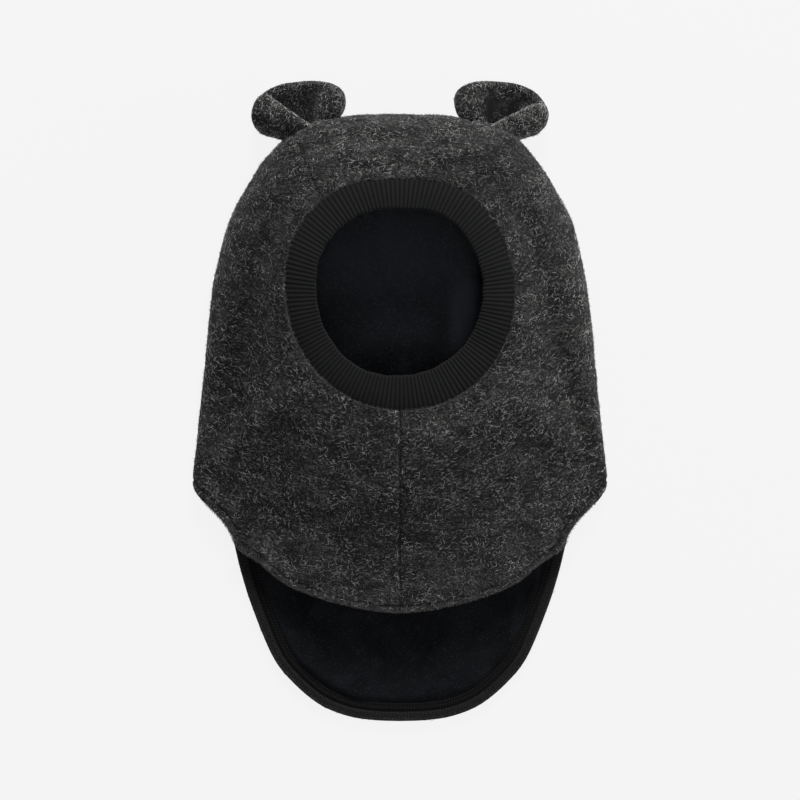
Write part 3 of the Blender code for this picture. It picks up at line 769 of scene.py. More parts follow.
def crease_height(points: np.ndarray, creases: tuple[Crease, ...]) -> np.ndarray:
    """Sum of soft ridges and furrows.

    Args:
        points: Places on the cloth.
        creases: The ridges and furrows.

    Returns:
        Height at every point.
    """
    found = np.zeros(len(points))
    for crease in creases:
        turn = math.radians(crease.turn)
        x, y = points[:, 0] - crease.x, points[:, 1] - crease.y
        along = (x * math.cos(turn) + y * math.sin(turn)) / crease.length
        across = (y * math.cos(turn) - x * math.sin(turn)) / crease.width
        found += crease.height * np.exp(-(along**4) - across**2)
    return found


def patches_at(x: np.ndarray, y: np.ndarray, patches: tuple[Dent, ...], power: int = 2) -> np.ndarray:
    """Sum of soft patches.

    Args:
        x: Place of each point across the patches.
        y: Place of each point along them.
        patches: The patches.
        power: Even power of their fall; a higher one has a sharper edge.

    Returns:
        Height at every point.
    """
    found = np.zeros(np.broadcast(x, y).shape)
    for patch in patches:
        across, along = (x - patch.x) / patch.across, (y - patch.y) / patch.along
        found += patch.height * np.exp(-(across**power) - along**power)
    return found


def brush(piece: Object, name: str, base: float, patches: tuple[Dent, ...], size: float) -> None:
    """Store patches of painted light and shade on a piece's points, laid out in plan.

    Args:
        piece: The piece.
        name: Name that they are stored under.
        base: Value between the patches.
        patches: The patches, measured in sizes.
        size: Length of one such measure.
    """
    places = np.array([tuple(v.co) for v in piece.data.vertices]) / size
    store(piece.data, name, base + patches_at(places[:, 0], places[:, 1], patches))


def rounded(distance: np.ndarray, radius: float) -> np.ndarray:
    """Depth by which an edge rounds away, from its full radius to none."""
    inside = np.clip(radius - distance, 0, radius)
    return radius - np.sqrt(radius**2 - inside**2)


@dataclass
class ClothMesh:
    """A closed cloth, cut from the sheet between two faces.

    Attributes:
        name: Name of the piece.
        sheet: The sheet that it is cut from.
        keep: Which cells it is made of.
        outer: Every point of its outer face.
        inner: Every point of its inner face.
        bulge: How far its cut edges stand out between the two faces.
        steps: Cells through the thickness at its cut edges.
        bare_height: Height under which no fibres grow.
        crease_width: Half width of the painted shade along a seam.
    """

    name: str
    sheet: HoodSheet
    keep: np.ndarray
    outer: np.ndarray
    inner: np.ndarray
    bulge: float = 0.25 * MM
    steps: int = 3
    bare_height: float = 2.0 * MM
    crease_width: float = 0.8 * MM

    def rim(self) -> list[tuple[int, int, int]]:
        """Edges that only one kept cell has: start, end and cell."""
        owner = {}
        for number, cell in enumerate(self.sheet.cells):
            if not self.keep[number]:
                continue
            for k in range(4):
                owner[int(cell[k]), int(cell[(k + 1) % 4])] = number
        return [(a, b, n) for (a, b), n in owner.items() if (b, a) not in owner]

    def inward(self, rim: list[tuple[int, int, int]]) -> dict[int, np.ndarray]:
        """Unit way from each rim point into the cloth."""
        ways: dict[int, list[np.ndarray]] = {}
        for a, b, number in rim:
            p = self.outer[self.sheet.cells[number]]
            normal = np.cross(p[2] - p[0], p[3] - p[1])
            way = np.cross(normal, self.outer[b] - self.outer[a])
            way = way / max(np.linalg.norm(way), 1e-12)
            ways.setdefault(a, []).append(way)
            ways.setdefault(b, []).append(way)
        found = {}
        for k, several in ways.items():
            total = np.sum(several, axis=0)
            found[k] = total / max(np.linalg.norm(total), 1e-9)
        return found

    def build(self) -> Object:
        """Make the mesh object, with its faces marked by where they lie."""
        sheet = self.sheet
        cells = sheet.cells[self.keep]
        rim = self.rim()
        inward = self.inward(rim)
        used = np.unique(cells)
        number = {int(k): i for i, k in enumerate(used)}
        outer, inner = self.outer[used].copy(), self.inner[used].copy()
        for k, way in inward.items():
            outer[number[k]] += way * 0.5 * sheet.pattern.gap
            inner[number[k]] += way * 0.5 * sheet.pattern.gap
        count = len(used)
        lookup = np.zeros(len(self.outer), int)
        lookup[used] = np.arange(count)
        quads = lookup[cells]
        faces = [tuple(q) for q in quads]
        faces += [tuple(q[::-1] + count) for q in quads]
        points = [*outer, *inner]
        between: dict[tuple[int, int], int] = {}
        for k, way in inward.items():
            i = number[k]
            between[k, 0], between[k, self.steps] = i, i + count
            for step in range(1, self.steps):
                share = step / self.steps
                place = outer[i] * (1 - share) + inner[i] * share
                place = place - way * self.bulge * math.sin(math.pi * share)
                between[k, step] = len(points)
                points.append(place)
        for a, b, _ in rim:
            for step in range(self.steps):
                ring = ((b, step), (a, step), (a, step + 1), (b, step + 1))
                faces.append(tuple(between[corner] for corner in ring))
        data = bpy.data.meshes.new(self.name)
        data.from_pydata([tuple(p) for p in points], [], faces)
        data.shade_smooth()
        self.mark(data, used, len(quads))
        return add_object(self.name, data)

    def mark(self, data: Mesh, used: np.ndarray, quads: int) -> None:
        """Store the painted shade of the seams, where fibres grow, which way they lie and how far the hem
        is.

        Args:
            data: The cloth's mesh.
            used: Numbers of the sheet's points that it has.
            quads: Number of cells of each of its faces.
        """
        sheet = self.sheet
        spare = np.zeros(len(data.vertices) - 2 * len(used))
        # painted shade: crease darkens the wool along the seams and the bib's sewn line, where shade falls
        # in their grooves
        depth = np.where(sheet.points[used, 1] < 0, 0.8, 0.45)
        drawn = depth * np.exp(-((sheet.from_seam[used] / self.crease_width) ** 2))
        crease = np.maximum(drawn, 0.75 * sheet.sewn_line()[used])
        crease = np.concatenate([crease, crease, spare])
        store(data, "crease", crease)
        fuzz = np.ones(len(data.polygons))
        fuzz[quads : 2 * quads] = 0.0
        fuzz[np.array([f.center.z for f in data.polygons]) < self.bare_height] = 0.0
        corners = np.array([f.vertices[:] for f in data.polygons])
        store(data, "fuzz", fuzz * np.clip(1 - crease[corners].mean(axis=1), 0, 1), "FACE")
        x, y = np.array([tuple(v.co) for v in data.vertices])[:, :2].T
        tilt = 6.0 * x * (1 - 1.7 * smooth_step(0.05, 0.085, y))
        store(data, "grain", np.stack([np.ones_like(x), tilt, np.zeros_like(x)], axis=1))
        from_hem = np.minimum(sheet.from_bib_hem, sheet.from_flap_hem)[used]
        store(data, "from_hem", np.concatenate([from_hem, from_hem, spare]))


class NodeTree:
    """Short hand for building a node tree."""

    def __init__(self, tree: bpy.types.NodeTree) -> None:
        """Keep the tree that the nodes go into."""
        self.tree = tree

    def put(self, socket: NodeSocket, value: object) -> None:
        """Set an input to a value, or link it to another node's output."""
        if isinstance(value, NodeSocket):
            self.tree.links.new(value, socket)
        else:
            socket.default_value = value

    def add(self, kind: str, inputs: dict | None = None, **settings: object) -> Node:
        """Add a node.

        Args:
            kind: Blender's name of the node type.
            inputs: Values or sockets for the node's inputs, by name or number.
            settings: The node's own settings.

        Returns:
            The new node.
        """
        node = self.tree.nodes.new(kind)
        for name, value in settings.items():
            setattr(node, name, value)
        for name, value in (inputs or {}).items():
            self.put(node.inputs[name], value)
        return node

    def math(self, operation: str, a: object, b: object = 0.0, clamp: bool = False) -> NodeSocket:
        """Output of a Math node."""
        return self.add("ShaderNodeMath", {0: a, 1: b}, operation=operation, use_clamp=clamp).outputs[0]

    def times(self, a: object, b: object, clamp: bool = False) -> NodeSocket:
        """Product of two numbers."""
        return self.math("MULTIPLY", a, b, clamp)

    def total(self, a: object, b: object, clamp: bool = False) -> NodeSocket:
        """Sum of two numbers."""
        return self.math("ADD", a, b, clamp)

    def scaled(self, a: object, factor: object) -> NodeSocket:
        """A vector scaled by a number."""
        return self.add("ShaderNodeVectorMath", {0: a, "Scale": factor}, operation="SCALE").outputs[0]

    def plus(self, a: object, b: object) -> NodeSocket:
        """Sum of two vectors."""
        return self.add("ShaderNodeVectorMath", {0: a, 1: b}, operation="ADD").outputs[0]

    def spread(
        self, value: object, low: float, high: float, to_low: float = 0.0, to_high: float = 1.0
    ) -> NodeSocket:
        """Smooth map of one range to another."""
        ends = {"From Min": low, "From Max": high, "To Min": to_low, "To Max": to_high}
        node = self.add("ShaderNodeMapRange", {"Value": value, **ends}, interpolation_type="SMOOTHSTEP")
        return node.outputs[0]

    def noise(
        self, where: object, size: float, detail: float = 2.0, distortion: float = 0.0
    ) -> NodeSocket:
        """Height of a noise with lumps of about this size."""
        inputs = {"Vector": where, "Scale": 1 / size, "Detail": detail, "Distortion": distortion}
        return self.add("ShaderNodeTexNoise", inputs).outputs[0]

    def mix(self, share: object, a: object, b: object) -> NodeSocket:
        """Mix of two colours."""
        return self.add("ShaderNodeMix", {0: share, 6: a, 7: b}, data_type="RGBA").outputs[2]

    def place(self) -> NodeSocket:
        """Place in the piece's own space."""
        return self.add("ShaderNodeTexCoord").outputs["Object"]

    def painted(self, name: str) -> NodeSocket:
        """Number that is stored on the piece's mesh, for a material."""
        return self.add("ShaderNodeAttribute", attribute_name=name).outputs["Fac"]


class GroupTree(NodeTree):
    """A geometry group, with the steps that several groups share."""

    def __init__(self, name: str, numbers: tuple[str, ...]) -> None:
        """Start the group with a geometry, the named numbers and a material.

        Args:
            name: Name of the group.
            numbers: Names of its number inputs; the one named Seed is whole.
        """
        super().__init__(bpy.data.node_groups.new(name, "GeometryNodeTree"))
        sockets = {"Geometry": "NodeSocketGeometry"}
        for label in numbers:
            sockets[label] = "NodeSocketInt" if label == "Seed" else "NodeSocketFloat"
        sockets["Material"] = "NodeSocketMaterial"
        self.tree.interface.new_socket("Geometry", in_out="OUTPUT", socket_type="NodeSocketGeometry")
        for label, kind in sockets.items():
            self.tree.interface.new_socket(label, in_out="INPUT", socket_type=kind)
        self.given = self.add("NodeGroupInput").outputs
        self.end = self.add("NodeGroupOutput")

    def finish(self, shape: NodeSocket) -> bpy.types.NodeTree:
        """End the group in real geometry with its material."""
        real = self.add("GeometryNodeRealizeInstances", {"Geometry": shape})
        smooth = self.add("GeometryNodeSetShadeSmooth", {"Geometry": real.outputs[0]})
        inputs = {"Geometry": smooth.outputs[0], "Material": self.given["Material"]}
        self.put(self.end.inputs[0], self.add("GeometryNodeSetMaterial", inputs).outputs[0])
        return self.tree

    def stored(self, name: str, kind: str = "FLOAT") -> NodeSocket:
        """Value that is stored on the mesh."""
        return self.add("GeometryNodeInputNamedAttribute", {"Name": name}, data_type=kind).outputs[0]

    def random(self, seed: object, low: float = 0.0, high: float = 1.0) -> NodeSocket:
        """Random number of each point."""
        inputs = {2: low, 3: high, "Seed": seed}
        return self.add("FunctionNodeRandomValue", inputs, data_type="FLOAT").outputs[1]

    def shaded(self, points: object, shade: object) -> NodeSocket:
        """Points that keep a number as their shade."""
        inputs = {"Geometry": points, "Name": "shade", "Value": shade}
        settings = {"data_type": "FLOAT", "domain": "POINT"}
        return self.add("GeometryNodeStoreNamedAttribute", inputs, **settings).outputs[0]

    def aimed(self, rotation: object, way: object) -> NodeSocket:
        """Rotation turned about its own Z until its X points a given way."""
        inputs = {"Rotation": rotation, "Vector": way}
        settings = {"axis": "X", "pivot_axis": "Z"}
        return self.add("FunctionNodeAlignRotationToVector", inputs, **settings).outputs[0]

    def turned(self, rotation: object, angle: object) -> NodeSocket:
        """Rotation turned by an angle about its own Z."""
        turn = self.add("FunctionNodeAxisAngleToRotation", {"Angle": angle}).outputs[0]
        inputs = {"Rotation": rotation, "Rotate By": turn}
        return self.add("FunctionNodeRotateRotation", inputs, rotation_space="LOCAL").outputs[0]

    def ends(self, length: object, height: object = 0.0) -> list[NodeSocket]:
        """Start and end of a stretch along X, with its middle over the origin."""
        half = self.times(length, 0.5)
        return [
            self.add("ShaderNodeCombineXYZ", {0: x, 2: height}).outputs[0]
            for x in (self.times(half, -1.0), half)
        ]

    def tube(self, curve: object, radius: object, sides: int) -> NodeSocket:
        """Closed tube along a curve."""
        ring = self.add("GeometryNodeCurvePrimitiveCircle", {"Resolution": sides, "Radius": radius})
        inputs = {"Curve": curve, "Profile Curve": ring.outputs[0], "Fill Caps": True}
        return self.add("GeometryNodeCurveToMesh", inputs).outputs[0]

    def repeated(self, points: object, shape: object, way: object, size: object) -> NodeSocket:
        """A shape on every point, turned and scaled."""
        inputs = {"Points": points, "Instance": shape, "Rotation": way, "Scale": size}
        return self.add("GeometryNodeInstanceOnPoints", inputs).outputs[0]


def grey(value: float, warm: float = 0.0) -> tuple[float, float, float, float]:
    """A grey, a little warm or, below nought, a little blue."""
    return (value * (1 + warm), value, value * (1 - warm), 1.0)


@dataclass(frozen=True)
class ClothFinish:
    """A cloth's colour, sheen and relief; each kind of cloth has its own pattern.

    Attributes:
        name: Name of the material.
        dark: Colour of its hollows.
        light: Colour of its raised threads.
        roughness: Roughness of the whole cloth.
        sheen: How much its nap lights up at grazing angles.
        relief: Depth of its bump.
        gloss: Specular level.
    """

    name: str
    dark: tuple[float, float, float, float]
    light: tuple[float, float, float, float]
    roughness: float = 0.95
    sheen: float = 0.2
    relief: float = 0.4 * MM
    gloss: float = 0.15

    def pattern(self, nodes: NodeTree) -> tuple[NodeSocket, NodeSocket]:
        """Share of the light colour and height of the relief at every place."""
        raise NotImplementedError

    def build(self) -> Material:
        """Make the material, with its plain values set on the shader."""
        made = bpy.data.materials.new(self.name)
        made.use_nodes = True
        nodes = NodeTree(made.node_tree)
        share, height = self.pattern(nodes)
        bump = nodes.add("ShaderNodeBump", {"Height": height, "Distance": self.relief, "Strength": 0.8})
        shader = made.node_tree.nodes["Principled BSDF"]
        for name, value in {
            "Roughness": self.roughness,
            "Sheen Weight": self.sheen,
            "Sheen Roughness": 0.5,
            "Specular IOR Level": self.gloss,
            "Base Color": nodes.mix(share, self.dark, self.light),
            "Normal": bump.outputs[0],
        }.items():
            nodes.put(shader.inputs[name], value)
        return made


@dataclass(frozen=True)
class WoolFinish(ClothFinish):
    """Boiled wool: a dark ground with curly light fibres felted into it.

    Attributes:
        curl: Size of a curl.
        strands: How many strands cross one curl.
        stretch: How the pattern is squeezed along each axis.
        fleck: Size of the flecks of the ground.
        patch: Size of its lighter and darker patches.
        drift: Size of its widest patches.
    """

    curl: float = 2.05 * MM
    strands: float = 3.2
    stretch: tuple[float, float, float] = (0.65, 1.1, 1.0)
    fleck: float = 0.5 * MM
    patch: float = WOOL_PATCH
    drift: float = 28 * MM

    def strand_layer(
        self, nodes: NodeTree, where: object, size: float, shift: float
    ) -> NodeSocket:
        """Curly lines: the level lines of a warped noise, broken into short ones.

        Args:
            nodes: The material's tree.
            where: Place in the stretched pattern.
            size: Size of a curl.
            shift: How far off in the noise the layer is taken.

        Returns:
            Height of the lines, from 0 to 1.
        """
        place = nodes.plus(where, (shift, -0.6 * shift, 0.3 * shift))
        wave = nodes.math("PINGPONG", nodes.noise(place, size, 1.5, 0.6), 0.5 / self.strands)
        line = nodes.spread(nodes.times(wave, 2 * self.strands), 0.0, 0.5, 1.0, 0.0)
        broken = nodes.spread(nodes.noise(place, size / 2.1, 1.0), 0.46, 0.58)
        return nodes.times(line, broken)

    def pattern(self, nodes: NodeTree) -> tuple[NodeSocket, NodeSocket]:
        """Flecked ground under three layers of strands, with painted shade in the creases and painted light
        and shade from the stored tone.
        """
        stretched = {0: nodes.place(), 1: self.stretch}
        where = nodes.add("ShaderNodeVectorMath", stretched, operation="MULTIPLY").outputs[0]
        lines = self.strand_layer(nodes, where, self.curl, 0.0)
        for size, shift in ((0.7, 3.7), (1.3, 8.1)):
            lines = nodes.math("MAXIMUM", lines, self.strand_layer(nodes, where, size * self.curl, shift))
        fleck = nodes.noise(where, self.fleck, 1.0)
        patch = nodes.noise(where, self.patch)
        drift = nodes.noise(where, self.drift, 1.0)
        tone = nodes.times(
            nodes.spread(patch, 0.34, 0.68, 0.32, 1.2), nodes.spread(drift, 0.3, 0.7, 0.75, 1.15)
        )
        # painted light and shade: the stored tone lightens the wool where light falls and darkens it where
        # shade falls
        tone = nodes.times(tone, nodes.painted("tone"))
        ground = nodes.times(nodes.spread(fleck, 0.35, 0.8), 0.26)
        strand = nodes.times(lines, nodes.spread(fleck, 0.2, 0.7, 0.18, 0.56))
        # painted shade: the wool's colour is darkened in the creases
        painted_crease_shade = nodes.spread(nodes.painted("crease"), 0.1, 1.0, 1.0, 0.1)
        share = nodes.times(nodes.times(nodes.total(ground, strand), tone), painted_crease_shade, True)
        return share, nodes.total(nodes.times(lines, 0.7), nodes.times(patch, 0.8))


@dataclass(frozen=True)
class FibreFinish(ClothFinish):
    """Loose wool fibres, some lighter than others, as the wool's patches are.

    Attributes:
        patch: Size of the wool's patches.
        rareness: How much rarer the light fibres are than the dark ones.
        scale: Size of the roughness along a fibre.
    """

    patch: float = WOOL_PATCH
    rareness: float = 1.9
    scale: float = 0.3 * MM

    def pattern(self, nodes: NodeTree) -> tuple[NodeSocket, NodeSocket]:
        """Each fibre's own shade, toned as the wool under it is, its painted light and shade included."""
        where = nodes.place()
        patch = nodes.spread(nodes.noise(where, self.patch), 0.34, 0.68, 0.42, 1.32)
        # the stored tone carries the wool's painted light and shade onto its fibres
        tone = nodes.times(nodes.painted("tone"), patch)
        share = nodes.times(nodes.math("POWER", nodes.painted("shade"), self.rareness), tone, True)
        return share, nodes.noise(where, self.scale, 1.0)


@dataclass(frozen=True)
class VelourFinish(ClothFinish):
    """Cotton velour: a short black nap that lies this way and that.

    Attributes:
        stroke: Size of the places where the nap lies one way.
        pile: Size of its tufts.
        speck: Size of its lighter specks.
    """

    stroke: float = 22 * MM
    pile: float = 0.35 * MM
    speck: float = 0.9 * MM

    def pattern(self, nodes: NodeTree) -> tuple[NodeSocket, NodeSocket]:
        """Strokes and pile, with specks where the nap catches the light, and the painted light and shade
        stored on the lining.
        """
        where = nodes.place()
        stroke = nodes.noise(where, self.stroke, 3.0, 0.8)
        pile = nodes.noise(where, self.pile, 1.0)
        # painted light and shade: the stored nap lightens the velour and its specks, and darkens it where
        # shade falls
        nap = nodes.painted("nap")
        speck = nodes.spread(nodes.noise(where, self.speck), 0.54, 0.74, 0.0, 0.36)
        speck = nodes.times(speck, nodes.spread(nap, 0.0, 0.6, 1.0, 2.4))
        share = nodes.total(nodes.spread(stroke, 0.3, 0.7, 0.0, 0.13), nodes.times(pile, 0.12))
        share = nodes.total(nodes.total(share, speck), nap, True)
        return share, nodes.total(nodes.times(stroke, 1.2), nodes.times(pile, 0.35))


@dataclass(frozen=True)
class RibFinish(ClothFinish):
    """Rib knit: rows of small knitted loops along each rib.

    Attributes:
        ribs: Ribs round the band.
        loops: Knitted rows across the band.
        fluff: Size of the yarn's fluff.
    """

    ribs: float = float(RIB_COUNT)
    loops: float = 16.0
    fluff: float = 0.5 * MM

    def pattern(self, nodes: NodeTree) -> tuple[NodeSocket, NodeSocket]:
        """Ribs and loops from the band's own map: round it, then across it, with painted shade in the
        valleys between ribs and between loops.
        """
        knit = nodes.add("ShaderNodeUVMap", uv_map="knit").outputs[0]
        turn, across, _ = nodes.add("ShaderNodeSeparateXYZ", {0: knit}).outputs
        ridge = nodes.times(nodes.math("PINGPONG", nodes.times(turn, self.ribs), 0.5), 2.0)
        leg = nodes.math("PINGPONG", nodes.times(turn, 2 * self.ribs), 0.5)
        row = nodes.total(nodes.times(across, self.loops), leg)
        loop = nodes.times(nodes.math("PINGPONG", row, 0.5), 2.0)
        fluff = nodes.noise(nodes.place(), self.fluff)
        # painted shade: the knit is coloured darker between ribs and between loops
        share = nodes.times(
            nodes.spread(ridge, 0.30, 0.90, 0.10, 1.0), nodes.spread(loop, -0.6, 1.0, 0.5, 1.0)
        )
        share = nodes.times(share, nodes.spread(fluff, 0.2, 0.8, 0.6, 1.2), True)
        return share, nodes.total(nodes.times(loop, 0.5), nodes.times(fluff, 0.6))


@dataclass(frozen=True)
class FacingFinish(ClothFinish):
    """Hem facing: grey wool beside the edge, black cloth inside the groove.

    Attributes:
        wool_width: Width of the wool beside the edge.
        fluff: Size of the wool's fluff.
    """

    wool_width: float = 5.6 * MM
    fluff: float = 0.8 * MM

    def pattern(self, nodes: NodeTree) -> tuple[NodeSocket, NodeSocket]:
        """Fluff up to the wool's width, from each point's distance to the hem."""
        fluff = nodes.noise(nodes.place(), self.fluff, 2.0, 0.5)
        width = self.wool_width
        edge = nodes.spread(nodes.painted("from_hem"), width - 0.5 * MM, width + 0.4 * MM, 1.0, 0.0)
        return nodes.times(edge, nodes.spread(fluff, 0.30, 0.72, 0.10, 1.0), True), fluff


@dataclass(frozen=True)
class ThreadFinish(ClothFinish):
    """Sewing thread, twisted.

    Attributes:
        twist: Size of a twist.
    """

    twist: float = 0.25 * MM

    def pattern(self, nodes: NodeTree) -> tuple[NodeSocket, NodeSocket]:
        """Twists, with painted highlights where they rise."""
        twist = nodes.noise(nodes.place(), self.twist, 1.0)
        return twist, twist


@dataclass(frozen=True)
class Finishes:
    """Every finish of the hood."""

    wool: WoolFinish = WoolFinish("grey wool", grey(0.003), grey(0.150, 0.01), sheen=0.05, relief=1.0 * MM)
    fibre: FibreFinish = FibreFinish("wool fibres", grey(0.008), grey(0.64, 0.02), sheen=0.03)
    ear_fibre: FibreFinish = FibreFinish("ear wool fibres", grey(0.010), grey(0.69, 0.02), sheen=0.03)
    edge_fibre: ThreadFinish = ThreadFinish("edge wool fibres", grey(0.010), grey(0.105, 0.02), sheen=0.03)
    velour: VelourFinish = VelourFinish(
        "black velour", grey(0.0016, -0.20), (0.0280, 0.0298, 0.0365, 1.0), 0.95, 0.02, 0.3 * MM, 0.05
    )
    rib: RibFinish = RibFinish(
        "black rib knit", grey(0.004, -0.04), grey(0.0150, -0.03), 0.9, 0.05, 0.25 * MM, 0.1
    )
    facing: FacingFinish = FacingFinish(
        "hem facing", grey(0.0016, -0.06), grey(0.0155), 0.95, 0.03, 0.3 * MM
    )
    thread: ThreadFinish = ThreadFinish("dark thread", grey(0.007), grey(0.026), 0.8, 0.03, 0.05 * MM)


def grow(
    source: Object, group: bpy.types.NodeTree, name: str, values: dict[str, object]
) -> Object:
    """Run a geometry group on an object and keep the result as a plain mesh.

    Args:
        source: Object that the group reads; it is left as it was.
        group: The geometry group.
        name: Name of the new piece.
        values: Value of each named input.

    Returns:
        The new mesh object.
    """
    modifier = source.modifiers.new(name, "NODES")
    modifier.node_group = group
    labels = {s.name: s.identifier for s in group.interface.items_tree if s.in_out == "INPUT"}
    for label, value in values.items():
        modifier[labels[label]] = value
    bpy.context.view_layer.update()
    graph = bpy.context.evaluated_depsgraph_get()
    data = bpy.data.meshes.new_from_object(source.evaluated_get(graph), depsgraph=graph)
    data.name = name
    source.modifiers.remove(modifier)
    return add_object(name, data)


class FibreGroup:
    """Geometry group that grows short curly fibres on a cloth."""

    NUMBERS = ("Density", "Length", "Curl", "Curl Size", "Lift", "Radius", "Stray", "Seed")
    POINTS = 3
    SIDES = 3
    SHORTEST, LONGEST = 0.55, 1.35

    def build(self) -> bpy.types.NodeTree:
        """Make the group."""
        nodes = GroupTree("wool fibres", self.NUMBERS)
        given = nodes.given
        density = nodes.times(nodes.stored("fuzz"), given["Density"])
        inputs = {"Mesh": given["Geometry"], "Density": density, "Seed": given["Seed"]}
        spots = nodes.add("GeometryNodeDistributePointsOnFaces", inputs).outputs
        shaded = nodes.shaded(spots["Points"], nodes.random(given["Seed"]))
        laid = nodes.aimed(spots["Rotation"], nodes.stored("grain", "FLOAT_VECTOR"))
        whirl = nodes.random(7, -1.0, 1.0)
        swerve = nodes.times(whirl, nodes.math("ABSOLUTE", whirl))
        way = nodes.turned(laid, nodes.times(swerve, given["Stray"]))
        start, end = nodes.ends(given["Length"])
        line = nodes.add("GeometryNodeCurvePrimitiveLine", {"Start": start, "End": end})
        strand = nodes.add("GeometryNodeResampleCurve", {"Curve": line.outputs[0], "Count": self.POINTS})
        size = nodes.random(5, self.SHORTEST, self.LONGEST)
        placed = nodes.repeated(shaded, strand.outputs[0], way, size)
        real = nodes.add("GeometryNodeRealizeInstances", {"Geometry": placed}).outputs[0]
        return nodes.finish(nodes.tube(self.curl(nodes, real), given["Radius"], self.SIDES))

    def curl(self, nodes: GroupTree, curves: NodeSocket) -> NodeSocket:
        """Bend each strand its own way, then lay it back on the cloth.

        Args:
            nodes: The group.
            curves: The strands.

        Returns:
            The strands, bent.
        """
        given = nodes.given
        shade = nodes.stored("shade")
        where = nodes.add("GeometryNodeInputPosition").outputs[0]
        inputs = {
            "Vector": where,
            "W": nodes.times(shade, 91.0),
            "Scale": nodes.math("DIVIDE", 1.0, given["Curl Size"]),
            "Detail": 0.0,
        }
        swirl = nodes.add("ShaderNodeTexNoise", inputs, noise_dimensions="4D")
        swing = nodes.plus(swirl.outputs["Color"], (-0.5, -0.5, -0.5))
        moved = nodes.plus(where, nodes.scaled(swing, nodes.times(given["Curl"], 2.0)))
        inputs = {0: given["Geometry"], "Source Position": moved}
        nearest = nodes.add("GeometryNodeProximity", inputs, target_element="FACES")
        normal = nodes.add("GeometryNodeInputNormal").outputs[0]
        inputs = {"Mesh": given["Geometry"], "Value": normal, "Sample Position": moved}
        facing = nodes.add("GeometryNodeSampleNearestSurface", inputs, data_type="FLOAT_VECTOR")
        arch = nodes.math("SINE", nodes.times(nodes.add("GeometryNodeSplineParameter").outputs[0], math.pi))
        loose = nodes.math("POWER", nodes.math("FRACT", nodes.times(shade, 57.0)), 3.0)
        height = nodes.times(arch, nodes.times(given["Lift"], nodes.total(0.12, loose)))
        place = nodes.plus(nearest.outputs["Position"], nodes.scaled(facing.outputs["Value"], height))
        x, y, z = nodes.add("ShaderNodeSeparateXYZ", {0: place}).outputs
        above = nodes.math("MAXIMUM", z, nodes.total(given["Radius"], 0.1 * MM))
        place = nodes.add("ShaderNodeCombineXYZ", {0: x, 1: y, 2: above}).outputs[0]
        return nodes.add("GeometryNodeSetPosition", {"Geometry": curves, "Position": place}).outputs[0]


class StitchGroup:
    """Geometry group that sews a row of stitches along a path."""

    NUMBERS = ("Spacing", "Stitch Length", "Thread Radius", "Arch", "Slant", "Wobble", "Seed")
    POINTS = 5
    SIDES = 5

    def build(self) -> bpy.types.NodeTree:
        """Make the group."""
        nodes = GroupTree("stitch row", self.NUMBERS)
        given = nodes.given
        path = nodes.add("GeometryNodeMeshToCurve", {"Mesh": given["Geometry"]}).outputs[0]
        inputs = {"Curve": path, "Length": given["Spacing"]}
        even = nodes.add("GeometryNodeResampleCurve", inputs, mode="LENGTH").outputs[0]
        up = {"Vector": nodes.stored("up", "FLOAT_VECTOR")}
        raised = nodes.add("FunctionNodeAlignRotationToVector", up, axis="Z").outputs[0]
        along = nodes.aimed(raised, nodes.add("GeometryNodeInputTangent").outputs[0])
        wobble = nodes.times(nodes.random(given["Seed"], -1.0, 1.0), given["Wobble"])
        way = nodes.turned(along, nodes.total(given["Slant"], wobble))
        sunk = nodes.times(given["Thread Radius"], -1.2)
        start, end = nodes.ends(given["Stitch Length"], sunk)
        top = nodes.add("ShaderNodeCombineXYZ", {2: nodes.times(given["Arch"], 2.0)}).outputs[0]
        inputs = {"Resolution": self.POINTS, "Start": start, "Middle": top, "End": end}
        bow = nodes.add("GeometryNodeCurveQuadraticBezier", inputs).outputs[0]
        thread = nodes.tube(bow, given["Thread Radius"], self.SIDES)
        shaded = nodes.shaded(even, nodes.random(9))
        return nodes.finish(nodes.repeated(shaded, thread, way, nodes.total(1.0, wobble)))


class RibGroup:
    """Geometry group that raises the ribs of a knitted band."""

    NUMBERS = ("Ribs", "Relief", "Join Turn", "Join Width")
    LEAST = 0.35

    def build(self) -> bpy.types.NodeTree:
        """Make the group."""
        nodes = GroupTree("knit ribs", self.NUMBERS)
        given = nodes.given
        turn = nodes.stored("turn")
        wave = nodes.math("PINGPONG", nodes.times(turn, given["Ribs"]), 0.5)
        ridge = nodes.math("SINE", nodes.times(wave, math.pi))
        away = nodes.math("ABSOLUTE", nodes.math("SUBTRACT", turn, given["Join Turn"]))
        inputs = {"Value": away, "From Max": given["Join Width"], "To Min": self.LEAST}
        near = nodes.add("ShaderNodeMapRange", inputs).outputs[0]
        height = nodes.times(nodes.math("SUBTRACT", nodes.times(ridge, near), 1.0), given["Relief"])
        offset = nodes.scaled(nodes.add("GeometryNodeInputNormal").outputs[0], height)
        inputs = {"Geometry": given["Geometry"], "Offset": offset}
        return nodes.finish(nodes.add("GeometryNodeSetPosition", inputs).outputs[0])


def settle(piece: Object, slot: str, *nodes: str) -> None:
    """Attach a piece to its body, hide the solids that it replaces and log its faces.

    Args:
        piece: The piece.
        slot: Not used.
        nodes: Names of the solids that it replaces.
    """
    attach(piece, BODY)
    if nodes:
        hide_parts(*nodes)
    LOG.info("%s: %d faces", piece.name, len(piece.data.polygons))


